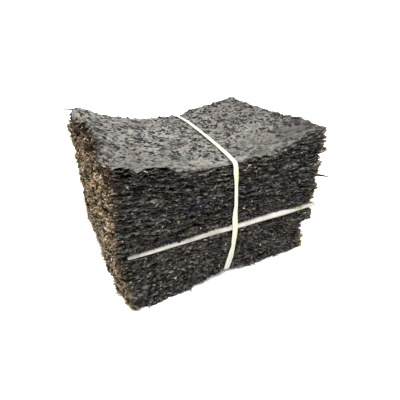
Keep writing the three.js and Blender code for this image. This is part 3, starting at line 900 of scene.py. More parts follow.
def press_flakes(rng, shape, step):
    """Torn laver laid plate over plate on a raster and pressed flat. Returns the relief in metres and,
    for each point, a draw that its topmost plate has."""
    relief = np.zeros(shape)
    draws = np.zeros(shape)
    mean_area = math.pi / 4 * (PLATES["length"] * MM) ** 2 * np.mean(PLATES["slender"])
    for _ in range(int(PLATES["cover"] * shape[0] * shape[1] * step * step / mean_area)):
        length = np.clip(PLATES["length"] * rng.lognormal(0, PLATES["spread"]), *PLATES["range"]) * MM / 2
        width = length * rng.uniform(*PLATES["slender"])
        notch, phase = rng.uniform(*PLATES["notch"]), rng.uniform(*ANY_PHASE)
        reach = int(PLATES["reach"] * length / step) + 1
        spot, dy, dx = window(shape, rng.uniform(0, shape[0]), rng.uniform(0, shape[1]), reach)
        p, q = turned(dx * step, dy * step, rng.normal(0, PLATES["turn"]))
        round_it = np.arctan2(q, p)
        jag = notch * (np.sin(3 * round_it + phase) + 0.6 * np.sin(8 * round_it + 2 * phase))
        edge = np.hypot(p / length, q / width) * (1 + jag)
        inside = edge < 1
        tilt = rng.normal(0, PLATES["tilt_along"]) * dx * step
        tilt = tilt + rng.normal(0, PLATES["tilt_across"]) * dy * step
        rise = rng.uniform(*PLATES["rise"]) * MM
        shade = rng.uniform()
        if inside.any():
            here = relief[spot]
            plate = here[inside].mean() + rise + tilt[inside]
            here[inside] = PLATES["ground"] * here[inside] + (1 - PLATES["ground"]) * plate
            draws[spot][inside] = shade
    return relief - np.median(relief), draws


def prick_pits(rng, shape, step, crowding):
    """Small holes between the flakes: how deep the face is pitted at each point, from 0 to 1."""
    pits = np.zeros(shape)
    for _ in range(PITS["count"]):
        u, v = rng.uniform(), rng.uniform()
        length = min(PITS["length"] * rng.lognormal(0, PITS["spread"]), PITS["longest"]) * MM
        width = length * rng.uniform(*PITS["slender"])
        angle, strength = rng.normal(*PITS["turn"]), rng.uniform(*PITS["strength"])
        phase = rng.uniform(*ANY_PHASE)
        if rng.uniform() > crowding(u, v):
            continue
        reach = int(PITS["reach"] * length / step) + 1
        spot, dy, dx = window(shape, v * shape[0], u * shape[1], reach)
        p, q = turned(dx * step, dy * step, angle)
        round_it = np.arctan2(q, p)
        jag = PITS["jag"] * np.sin(2 * round_it + phase) * np.sin(3 * round_it)
        edge = np.hypot(p / length, q / width) * (1 + jag)
        hole = strength * np.exp(-edge ** 4)
        pits[spot] = np.maximum(pits[spot], hole)
    return pits


def top_crowding(u, v):
    """Share of the pits that the top face has at a place."""
    (calm_u, calm_v), (half_u, half_v) = PIT_CROWDING["calm_place"], PIT_CROWDING["calm_half"]
    calm = math.exp(-((u - calm_u) / half_u) ** 2 - ((v - calm_v) / half_v) ** 2)
    at_front = PIT_CROWDING["at_front"]
    filled = at_front + (1 - at_front) * smoothstep(*PIT_CROWDING["fills_in"], v)
    return filled - PIT_CROWDING["calm"] * calm


def crinkles(rng, shape, step):
    """Broken lines where the face has shrunk into fine creases, from 0 to 1."""
    line, breaks = [face_noise(rng, shape, step, CRINKLES["length"] * MM) for _ in range(2)]
    return np.exp(-((line / CRINKLES["thin"]) ** 2)) * smoothstep(*CRINKLES["broken"], breaks)


def worn_rim(rng, shape, step, u, v, near_rim):
    """How worn a face is, from 0 to 1: most along its rim, and further in at some places."""
    reach = WEAR["reach"]
    for more, along, across in WEAR_PLACES:
        reach = reach + more * smoothstep(*along, u) * smoothstep(*across, v)
    patchy = face_noise(rng, shape, step, WEAR["patches"] * MM)
    return smoothstep(*WEAR["grows"], patchy + WEAR["at_rim"] * (1 - near_rim / (reach * MM)))


def face_colours(rng, shape, step, relief, draws, pits, wear):
    """Colours of a dry face: high flakes painted pale and gaps painted dark, as light and shade on the
    relief, and pits painted black as shade, under faint clouds of colour.
    """
    # Painted light and shade: a place's rise over the ground nearby lightens it, a hollow darkens it
    rise = relief - blurred(relief, step, FACE_GRAIN["nearby"] * MM)
    order = FACE_GRAIN["rise"] * rise / rise.std() + FACE_GRAIN["plate"] * (draws - 0.5)
    for strength, length in FACE_SPOTS:
        order = order + strength * face_noise(rng, shape, step, length * MM)
    darker = np.argsort(np.argsort(order, axis=None)).reshape(shape) / order.size
    shares, greys = zip(*FACE_RAMP)
    greys = np.array([linear(grey) for grey in greys])
    shade = np.dstack([np.interp(darker, shares, greys[:, channel]) for channel in range(3)])
    for tint in FACE_CLOUDS:
        share = smoothstep(*FACE_CLOUD["grows"], face_noise(rng, shape, step, FACE_CLOUD["length"] * MM))
        shade = shade * (1 + share[..., None] * (np.array(tint) - 1))
    deep = np.linspace(0, 1, shape[0])[:, None]
    calm = face_noise(rng, shape, step, CALM["length"] * MM)
    calm = calm + CALM["front"] * smoothstep(*CALM["fades"], deep)
    shade = mixed(shade, FACE_CALM, CALM["share"] * smoothstep(*CALM["grows"], calm))
    shade = shade * np.linspace(*FACE_LEFT_TO_RIGHT, shape[1])[None, :, None]
    along = np.linspace(0, 1, shape[1])[None, :]
    for u, v, half_u, half_v, dark in FACE_DARKER_PLACES:
        darkening = dark * np.exp(-((along - u) / half_u) ** 2 - ((deep - v) / half_v) ** 2)
        shade = shade * (1 - darkening)[..., None]
    shade = mixed(shade, CUT_DARK, WEAR["dark"] * wear)
    # Pits are painted black, as the shade in the holes
    return mixed(shade, SHADOW_BLACK, smoothstep(*PITS["painted_shadow"], pits))


def patch_between(front, right, back, left):
    """Points of a raster stretched between four sides, each given as a run of points in plan."""
    u = np.linspace(0, 1, len(front))[None, :, None]
    v = np.linspace(0, 1, len(left))[:, None, None]
    along = front[None] * (1 - v) + back[None] * v
    across = left[:, None] * (1 - u) + right[:, None] * u
    near = front[0] * (1 - u) + front[-1] * u
    far = back[0] * (1 - u) + back[-1] * u
    return along + across - near * (1 - v) - far * v


def face_sheet(seed, layer, grid, up, notch, lift, crowding):
    """A sheet whose outer face is modelled flake by flake, as (points, faces, tints)."""
    rng = np.random.default_rng(seed)
    columns, rows = grid
    counts = (columns, rows, columns, rows)
    shape = (rows + 1, columns + 1)
    outer_field = layer["top" if up else "bottom"]
    way = 1 if up else -1
    plan = trace(layer, counts)
    step = (plan[columns, 0] - plan[0, 0]) / columns
    stand = clear_of_band(ragged(rng, 1, counts, step)[0], plan, height_at(outer_field, plan))
    rim = plan + ways_out(counts, FACE_ROUNDING) * (stand - notch(plan))[:, None]
    loop = np.vstack([rim, rim[:1]])
    corner = np.cumsum((0,) + counts)
    front, right, back, left = [loop[a:b + 1] for a, b in zip(corner, corner[1:])]
    face_plan = patch_between(front, right, back[::-1], left[::-1])

    u = np.linspace(0, 1, columns + 1)[None, :]
    v = np.linspace(0, 1, rows + 1)[:, None]
    near_rim = np.minimum(np.minimum(u, 1 - u) * columns, np.minimum(v, 1 - v) * rows) * step
    flakes, draws = press_flakes(rng, shape, step)
    pits = prick_pits(rng, shape, step, crowding)
    crinkle = crinkles(rng, shape, step)
    wear = worn_rim(rng, shape, step, u, v, near_rim)
    grain = face_noise(rng, shape, step, FACE_RELIEF["grain_length"] * MM)
    swell = face_noise(rng, shape, step, FACE_RELIEF["swell_length"] * MM)
    curl = face_noise(rng, shape, step, RIM_CURL["length"] * MM)
    curl = curl * smoothstep(RIM_CURL["reach"] * MM, 0, near_rim)
    curl = curl * smoothstep(*RIM_CURL["across"], v) * smoothstep(*RIM_CURL["along"], u)
    relief = flakes + (FACE_RELIEF["grain"] * grain + FACE_RELIEF["swell"] * swell) * MM
    sunk = FACE_RELIEF["pits"] * pits + FACE_RELIEF["crinkles"] * crinkle + FACE_RELIEF["wear"] * wear
    relief = np.maximum(relief - sunk * MM, -FACE_RELIEF["deepest"] * MM)
    # Pits and creases carry painted shade into the face colours
    dark = np.maximum(pits, CRINKLES["shade"] * crinkle)
    tints = face_colours(rng, shape, step, relief, draws, dark, wear).reshape(-1, 3)

    body = smoothstep(0, FACE_RELIEF["rim"] * MM, near_rim)
    outer = height_at(outer_field, face_plan)
    if up:
        at_rim = FACE_RELIEF["at_rim"]
        outer = outer + lift(face_plan) + RIM_CURL["height"] * MM * curl
        outer = outer + relief * (at_rim + (1 - at_rim) * body)
    else:
        outer = outer - relief.min() * UNDERSIDE_RELIEF["down"] - relief * UNDERSIDE_RELIEF["share"] * body
        outer = np.maximum(outer, FLOOR_GAP)
    points = np.dstack([face_plan, outer]).reshape(-1, 3)
    faces, outer_rim = raster_face(*shape)
    middle = rim.mean(axis=0)
    backing = []
    for inset, every in FACE_BACKING + [(1, len(rim))]:
        spot = rim[::every] + (middle - rim[::every]) * inset
        height = height_at(outer_field, spot) - way * FACE_SHEET_THICKNESS + (lift(spot) if up else 0)
        backing.append(np.column_stack([spot, height]))
    backing[0][:, 2] = points[outer_rim, 2] - way * FACE_RIM_THICKNESS
    back_faces, back_rim, after = ring_face([len(ring) for ring in backing[:-1]], len(points))
    if up:
        shell = np.vstack([faces, back_faces[:, ::-1], wall(back_rim, outer_rim)])
    else:
        shell = np.vstack([faces[:, ::-1], back_faces, wall(outer_rim, back_rim)])
    points = np.vstack([points] + backing)
    tints = np.vstack([tints, np.tile(CUT_DARK, (len(points) - len(tints), 1))])
    return points, shell, tints


# Crumbled flakes and wisps on the sides

def flat_flakes(base, lengthwise, widthwise, length, width, thick, skew):
    """Small four-cornered flakes, each a flat four-sided body, as points and faces."""
    half_length = lengthwise * (length / 2)[:, None]
    half_width = widthwise * (width / 2)[:, None]
    half_thick = np.cross(lengthwise, widthwise) * (thick / 2)[:, None]
    corners = [
        base + half_length + half_thick,
        base - half_length + half_thick,
        base + half_length * skew[:, :1] + half_width - half_thick,
        base + half_length * skew[:, 1:] - half_width - half_thick,
    ]
    points = np.stack(corners, axis=1).reshape(-1, 3)
    points[:, 2] = np.maximum(points[:, 2], FLOOR_GAP)
    one_flake = np.array([(0, 2, 1), (0, 1, 3), (0, 3, 2), (1, 2, 3)])
    faces = one_flake[None] + 4 * np.arange(len(base))[:, None, None]
    return points, faces.reshape(-1, 3)


def rim_places(rng, sides, count):
    """Random places on the rims of some sides, spilling a little round their corners: the point, the ways
    along and out, and the sheet and the point's number on its rim."""
    row = rng.integers(0, SHEETS, count)
    side = rng.choice(sides, count)
    spot = rng.uniform(-CORNER_SPILL, np.array(SIDE_COUNTS)[side] + CORNER_SPILL)
    at = (np.array(SIDE_STARTS)[side] + np.floor(spot).astype(int)) % RIM_POINTS
    along = unit(rims[row, (at + 2) % RIM_POINTS] - rims[row, at - 2])
    out = np.column_stack([WAYS_OUT[at], np.zeros(count)])
    return rims[row, at], along, out, row, at


def crumbled_flakes(seed, kind):
    """Torn flakes on the rims of some sides, turned and tipped this way and that, as (points, faces,
    tints)."""
    rng = np.random.default_rng(seed)
    count = kind["count"]
    base, along, out, row, at = rim_places(rng, kind["sides"], count)
    up = np.array([0.0, 0.0, 1.0])
    turn, tip = rng.normal(*kind["turn"], count), rng.normal(0, kind["tip"], count)
    roll = rng.uniform(*FLAKE["roll"], count)
    lengthwise = unit(along * np.cos(turn)[:, None] + out * np.sin(turn)[:, None] + up * np.sin(tip)[:, None])
    flat = unit(np.cross(lengthwise, up))
    widthwise = flat * np.cos(roll)[:, None] + np.cross(lengthwise, flat) * np.sin(roll)[:, None]
    length = kind["length"] * rng.lognormal(0, kind["spread"], count)
    length = np.clip(length, FLAKE["shortest"], kind["longest"]) * MM
    slender = rng.uniform(*kind["slender"], count)
    width = np.clip(length / MM * slender, *FLAKE["widths"]) * MM
    thick = rng.uniform(*FLAKE["thick"], count) * MM
    behind_band = np.zeros(count)
    for way in (-1, 1):
        near = smoothstep(*FLAKE["near_band"], off_band(base, base[:, 2], way) / MM)
        on_side = out[:, 1] * way > FLAKE["on_side"]
        behind_band = behind_band + FLAKE["behind_band"] * MM * near * on_side
    tuft = tufts[row, at]
    proud = (rng.uniform(*FLAKE["proud"], count) + kind["tuft_out"] * tuft) * MM + kind["reach_out"] * length
    base = base + out * (proud - behind_band)[:, None]
    base = base + up * (rng.normal(0, FLAKE["scatter"], count) * MM)[:, None]
    skew = rng.uniform(-FLAKE["skew"], FLAKE["skew"], (count, 2))
    points, faces = flat_flakes(base, lengthwise, widthwise, length, width, thick, skew)
    draw = rng.uniform(size=(count, 2))
    # Flakes between the tufts are painted darker, as shade
    lit = 1 - kind["tufted"] * (1 - smoothstep(*FLAKE["lit_tufts"], tuft))
    lit = lit * (kind["even"] + (1 - kind["even"]) * draw[:, 0] ** kind["light"])
    tints = mixed(rim_dark[row, at], rim_light[row, at], lit)
    bleached = kind["bleached"] * smoothstep(*FLAKE["bleaches"], lit) * (1 - rim_olive[row, at])
    tints = mixed(tints, tints.mean(axis=1, keepdims=True) * BLEACHED, bleached)
    # A few flakes are painted pale, as glints
    tints = mixed(tints, PALE_GLINT, FLAKE["glint"] * (draw[:, 1] < kind["glints"]))
    return points, faces, np.repeat(tints, 4, axis=0)


def wisp(root, way, length, width, turn):
    """One long thin strand, bent down by its own weight, as points and faces."""
    stations = WISP["stations"]
    share = np.linspace(0, 1, stations)[:, None]
    down = np.array([0, 0, -1.0])
    spine = root + way * length * share + down * WISP["droop"] * length * share ** 2
    beside = unit(np.cross(way, down + WISP["aslant"]))
    above = np.cross(way, beside)
    angles = turn + np.array([0, 2, 4]) * math.pi / 3
    ring = np.cos(angles)[:, None] * beside + np.sin(angles)[:, None] * above
    radius = width / 2 * (1 - WISP["taper"] * share[..., None])
    points = (spine[:, None] + ring[None] * radius).reshape(-1, 3)
    points[:, 2] = np.maximum(points[:, 2], FLOOR_GAP)
    faces = [(2, 1, 0), (3 * stations - 3, 3 * stations - 2, 3 * stations - 1)]
    for start in range(0, 3 * stations - 3, 3):
        for k in range(3):
            a, b = start + k, start + (k + 1) % 3
            faces += [(a, b, b + 3), (a, b + 3, a + 3)]
    return points, np.array(faces)


def end_wisps():
    """Wisps that stick out of the ends, a corner and the foot, and a few long ones given one by one."""
    rng = np.random.default_rng(SEEDS["end_wisps"])
    row, at = rim_places(rng, [RIGHT, LEFT], WISPS)[3:]
    at_corner = SIDE_STARTS[LEFT] + rng.integers(*CORNER_WISPS["points"], CORNER_WISPS["count"])
    rows_there = CORNER_WISPS["from_floor"], SHEETS - CORNER_WISPS["from_top"]
    row_there = rng.integers(*rows_there, CORNER_WISPS["count"])
    row, at = np.append(row, row_there), np.append(at, at_corner)
    for side, wisps in FOOT_WISPS.items():
        at = np.append(at, SIDE_STARTS[side] + rng.integers(0, SIDE_COUNTS[side], wisps))
        row = np.append(row, rng.integers(0, FOOT_WISP_SHEETS, wisps))
    base, out = rims[row, at], np.column_stack([WAYS_OUT[at], np.zeros(len(at))])
    count = len(row)
    lengths, widths = rng.uniform(*WISP["length"], count), rng.uniform(*WISP["width"], count)
    widths[WISPS:] *= WISP["stouter"]
    turns, rises = rng.normal(0, WISP["turn"], count), rng.normal(*WISP["rise"], count)
    parts = []
    for side, height, share, length, turn, rise, width in LONG_WISPS:
        where = SIDE_STARTS[side] + int(share * SIDE_COUNTS[side])
        near = int(np.argmin(np.abs(rims[:, where, 2] - height * MM)))
        row, at = np.append(row, near), np.append(at, where)
        base = np.vstack([base, rims[near, where]])
        out = np.vstack([out, [*WAYS_OUT[where], 0]])
        lengths, widths = np.append(lengths, length), np.append(widths, width)
        turns, rises = np.append(turns, turn), np.append(rises, rise)
    for k in range(len(lengths)):
        sideways = np.array([-out[k, 1], out[k, 0], 0])
        way = unit(out[k] * math.cos(turns[k]) + sideways * math.sin(turns[k]) + np.array([0, 0, rises[k]]))
        root = base[k] - WISP["root"] * MM * way
        points, faces = wisp(root, way, lengths[k] * MM, widths[k] * MM, rng.uniform(*WISP["roll"]))
        lit = rng.uniform(*WISP["lit"]) + (WISP["lighter"] if WISPS <= k < count else 0)
        tint = mixed(rim_dark[row[k], at[k]], rim_light[row[k], at[k]], lit)
        tint = WISP_BROWN if k >= count else tint
        parts.append((points, faces, np.tile(tint, (len(points), 1))))
    return joined(parts)


def cream_flecks():
    """Bits of other weed caught between the sheets."""
    rng = np.random.default_rng(SEEDS["cream_flecks"])
    *places, length, lean, weeds = zip(*FLECKS)
    off = [np.linalg.norm(rims - np.array(place) * MM, axis=2) for place in zip(*places)]
    row, at = np.unravel_index([np.argmin(away) for away in off], rims.shape[:2])
    count = len(FLECKS)
    out = np.column_stack([WAYS_OUT[at], np.zeros(count)])
    base = rims[row, at] + FLECK["proud"] * MM * out
    lengthwise = np.column_stack([np.cos(lean), np.zeros(count), np.sin(lean)])
    widthwise = unit(np.cross(lengthwise, out + [0, 0, FLECK["tip"]]))
    sizes = [share * np.array(length) * MM for share in (1, FLECK["width"], FLECK["thick"])]
    skew = rng.uniform(-FLECK["skew"], FLECK["skew"], (count, 2))
    points, faces = flat_flakes(base, lengthwise, widthwise, *sizes, skew)
    return points, faces, np.repeat([WEEDS[weed] for weed in weeds], 4, axis=0)


# Materials

def add_node(tree, kind, inputs=None, **settings):
    """Adds a node: its settings, then its inputs, each a value or an output to link."""
    made = tree.nodes.new("ShaderNode" + kind)
    for name, value in settings.items():
        setattr(made, name, value)
    for socket, value in (inputs or {}).items():
        if isinstance(value, bpy.types.NodeSocket):
            tree.links.new(value, made.inputs[socket])
        else:
            made.inputs[socket].default_value = value
    return made


def new_material(name):
    """An empty material, and its node tree."""
    material = bpy.data.materials.new(name)
    material.use_nodes = True
    material.node_tree.nodes.clear()
    return material, material.node_tree


def laver(name, spot_mm, spot_low, spot_high, fibre_mm, roughness):
    """Pressed dried laver: thin seaweed shreds, matted and dried. The shreds' colours, with the light and
    shade painted into them, come with the mesh; here each gets a finer mottle, a dull leathery sheen and a
    fibrous tooth."""
    material, tree = new_material(name)
    place = add_node(tree, "TexCoord").outputs["Object"]
    tint = add_node(tree, "Attribute", attribute_name="tint").outputs["Color"]
    mottle = add_node(tree, "TexNoise", {"Vector": place, "Scale": 1 / (spot_mm * MM), "Detail": 3.0})
    share = add_node(tree, "MapRange", {
        "Value": mottle.outputs["Fac"], "From Min": 0.3, "From Max": 0.7,
        "To Min": spot_low, "To Max": spot_high,
    }).outputs["Result"]
    shaded = add_node(tree, "VectorMath", {0: tint, "Scale": share}, operation="SCALE").outputs["Vector"]
    fibre_place = add_node(tree, "Mapping", {"Vector": place, "Scale": (0.5, 0.5, 1.6)}).outputs["Vector"]
    fibre = add_node(tree, "TexNoise", {"Vector": fibre_place, "Scale": 1 / (fibre_mm * MM), "Detail": 2.0})
    tooth = add_node(tree, "Bump", {"Strength": 0.6, "Distance": 0.25 * MM, "Height": fibre.outputs["Fac"]})
    rough = add_node(tree, "MapRange", {
        "Value": fibre.outputs["Fac"], "From Min": 0.3, "From Max": 0.7,
        "To Min": roughness - 0.1, "To Max": roughness + 0.12,
    }).outputs["Result"]
    shader = add_node(tree, "BsdfPrincipled", {
        "Base Color": shaded, "Roughness": rough, "IOR": 1.42, "Specular IOR Level": 0.1,
        "Normal": tooth.outputs["Normal"],
    })
    add_node(tree, "OutputMaterial", {"Surface": shader.outputs["BSDF"]})
    return material


def slip_paper():
    """Uncoated white paper: matte, a little warm, dusty along its rim and cloudy from its fibres."""
    material, tree = new_material("uncoated_white_paper")
    place = add_node(tree, "TexCoord").outputs["Object"]
    tint = add_node(tree, "Attribute", attribute_name="tint").outputs["Color"]
    cloud = add_node(tree, "TexNoise", {"Vector": place, "Scale": 1 / (9 * MM), "Detail": 4.0})
    share = add_node(tree, "MapRange", {
        "Value": cloud.outputs["Fac"], "From Min": 0.3, "From Max": 0.7, "To Min": 0.93, "To Max": 1.04,
    }).outputs["Result"]
    shade = add_node(tree, "VectorMath", {0: tint, "Scale": share}, operation="SCALE")
    fibre = add_node(tree, "TexNoise", {"Vector": place, "Scale": 1 / (0.8 * MM), "Detail": 2.0})
    tooth = add_node(tree, "Bump", {"Strength": 0.3, "Distance": 0.05 * MM, "Height": fibre.outputs["Fac"]})
    shader = add_node(tree, "BsdfPrincipled", {
        "Base Color": shade.outputs["Vector"], "Roughness": 0.9, "IOR": 1.45,
        "Normal": tooth.outputs["Normal"],
    })
    add_node(tree, "OutputMaterial", {"Surface": shader.outputs["BSDF"]})
    return material


def band_tape():
    """Flat cream polypropylene tape, drawn and split lengthwise: a soft satin with fine long streaks. Its
    thin edges are painted yellow green in its colour, as light showing through them."""
    material, tree = new_material("drawn_polypropylene_tape")
    place = add_node(tree, "TexCoord").outputs["Object"]
    tint = add_node(tree, "Attribute", attribute_name="tint").outputs["Color"]
    streak_place = add_node(tree, "Mapping", {"Vector": place, "Scale": (1, 0.05, 0.05)}).outputs["Vector"]
    streak = add_node(tree, "TexNoise", {"Vector": streak_place, "Scale": 1 / (0.5 * MM), "Detail": 1.0})
    tooth = add_node(tree, "Bump", {"Strength": 0.4, "Distance": 0.08 * MM, "Height": streak.outputs["Fac"]})
    shader = add_node(tree, "BsdfPrincipled", {
        "Base Color": tint, "Roughness": 0.42, "IOR": 1.49, "Normal": tooth.outputs["Normal"],
    })
    add_node(tree, "OutputMaterial", {"Surface": shader.outputs["BSDF"]})
    return material


# Slip sheet and band

def slip_bend(x):
    """How far the slip's front margin rises from its edge, by the place along X."""
    place, rise = np.array(SLIP_BEND).T
    return np.interp(x / MM, place, rise) * MM


def slip_corners():
    """The slip's front left, front right, back right and back left corner in plan."""
    corners = np.array([tuple(v.co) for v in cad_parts["slip_sheet"].data.vertices])[:, :2]
    return [corners[np.argmin(corners @ np.array(way))] for way in ((1, 1), (-1, 1), (-1, -1), (1, -1))]


def slip_rise(x, inward):
    """How far the slip's margin rises at a place, by how far in from its edge that is, in mm."""
    return slip_bend(x) * np.interp(inward, *np.array(SLIP_BEND_SHAPE).T)


def lay_over_slip(rng):
    """Draws out and frays the fronts of the sheets over the slip, and lays them on its bend."""
    front = smoothstep(*SHEETS_OVER_SLIP["front"], -WAYS_OUT[:, 1])
    along = np.arange(RIM_POINTS) / SIDE_COUNTS[FRONT]
    left = 1 + SHEETS_OVER_SLIP["left_more"] * smoothstep(*SHEETS_OVER_SLIP["left_fades"], along)
    for away in range(SHEETS_OVER_SLIP["rows"]):
        row = FIRST_UPPER_SHEET + away
        fade = 1 - away / SHEETS_OVER_SLIP["rows"]
        fray = SHEETS_OVER_SLIP["fray"] * fade * rim_noise(rng, 1, RIM_POINTS, RIM_STEP, "frayed")[0]
        stand_out[row] += (SHEETS_OVER_SLIP["out"] * fade * front * left + fray) * MM
        plan = trace(layers[row // SHEETS_PER_LAYER], SIDE_COUNTS)
        rise = slip_bend(plan[:, 0]) + SHEETS_OVER_SLIP["over"] * MM
        settle_all[row] += rise * fade * front


def slip_crumbs():
    """Crumbs and bits of weed on the slip's front margin, as (points, faces, tints)."""
    rng = np.random.default_rng(SEEDS["slip_crumbs"])
    start, end = slip_corners()[:2]
    count = SLIP_CRUMBS["count"]
    weed_x, weed_inward, weed_length, weed_lean, weeds = zip(*SLIP_WEEDS)
    x = np.append(rng.uniform(start[0], end[0], count), np.array(weed_x) * MM)
    inward = np.append(rng.uniform(*SLIP_CRUMBS["inward"], count), weed_inward)
    length = np.append(rng.uniform(*SLIP_CRUMBS["length"], count), weed_length) * MM
    lean = np.append(rng.normal(*SLIP_CRUMBS["lean"], count), weed_lean)
    y = np.interp(x, [start[0], end[0]], [start[1], end[1]]) + inward * MM
    low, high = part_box("slip_sheet")
    paper = (low.z + high.z + SLIP_THICKNESS) / 2 + slip_rise(x, inward)
    base = np.column_stack([x, y, paper + SLIP_CRUMBS["lift"] * length])
    lengthwise = np.column_stack([np.cos(lean), np.zeros(len(x)), np.sin(lean)])
    widthwise = unit(np.cross(lengthwise, [0, -1, SLIP_CRUMBS["tip"]]))
    skew = rng.uniform(-SLIP_CRUMBS["skew"], SLIP_CRUMBS["skew"], (len(x), 2))
    shade = rng.uniform(size=count) ** SLIP_CRUMBS["light"]
    at = (x[:count] / SHEET_LENGTH + 0.5) * SIDE_COUNTS[FRONT]
    at = np.clip(at, 0, SIDE_COUNTS[FRONT] - 1).astype(int)
    tints = mixed(rim_dark[FIRST_UPPER_SHEET, at], rim_light[FIRST_UPPER_SHEET, at], shade)
    tints = np.vstack([tints, [WEEDS[weed] for weed in weeds]])
    kept = off_band(base, base[:, 2], -1) > SLIP_CRUMBS["off_band"] * MM
    sizes = [share * length[kept] for share in (1, SLIP_CRUMBS["width"], SLIP_CRUMBS["thick"])]
    points, faces = flat_flakes(base[kept], lengthwise[kept], widthwise[kept], *sizes, skew[kept])
    return points, faces, np.repeat(tints[kept], 4, axis=0)


def slip_sheet():
    """The paper between the piles: a thin wavy sheet with a slightly uneven edge, as (points, faces,
    tints)."""
    rng = np.random.default_rng(SEEDS["slip_paper"])
    low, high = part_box("slip_sheet")
    front_left, front_right, back_right, back_left = slip_corners()
    columns, rows = SLIP_GRID
    u = np.linspace(0, 1, columns + 1)[:, None]
    v = np.linspace(0, 1, rows + 1)[:, None] ** 2
    steps = (columns, rows, columns, rows)
    wave = [SLIP_WAVE["edge"] * rim_noise(rng, 1, count + 1, STRIP_STEP, "slip_edge")[0] for count in steps]
    front = front_left + (front_right - front_left) * u + wave[0][:, None] * [0, 1]
    back = back_left + (back_right - back_left) * u + wave[2][:, None] * [0, 1]
    left = front_left + (back_left - front_left) * v + wave[3][:, None] * [1, 0]
    right = front_right + (back_right - front_right) * v + wave[1][:, None] * [1, 0]
    left[0], left[-1], right[0], right[-1] = front[0], back[0], front[-1], back[-1]
    plan = patch_between(front, right, back, left)
    swell = face_noise(rng, (rows + 1, columns + 1), STRIP_STEP, SLIP_WAVE["length"])
    inward = (plan[..., 1] - plan[:1, :, 1]) / MM
    middle = (low.z + high.z) / 2 + SLIP_WAVE["face"] * swell + slip_rise(plan[..., 0], inward)
    face, rim = raster_face(rows + 1, columns + 1)
    upper = np.dstack([plan, middle + SLIP_THICKNESS / 2]).reshape(-1, 3)
    lower = np.dstack([plan, middle - SLIP_THICKNESS / 2]).reshape(-1, 3)
    faces = np.vstack([face, face[:, ::-1] + len(upper), wall(rim + len(upper), rim)])
    ends = np.minimum(plan[..., 0] - plan[:, :1, 0], plan[:, -1:, 0] - plan[..., 0])
    sides = np.minimum(plan[..., 1] - plan[:1, :, 1], plan[-1:, :, 1] - plan[..., 1])
    tints = mixed(PAPER_RIM, PAPER, smoothstep(0, SLIP_DUSTY, np.minimum(ends, sides).ravel()))
    # Painted shade, darker towards the right
    tints = tints * np.interp(plan[..., 0].ravel() / MM, *np.array(PAPER_SHADE_LEFT_TO_RIGHT).T)[:, None]
    return np.vstack([upper, lower]), faces, np.vstack([tints, tints])


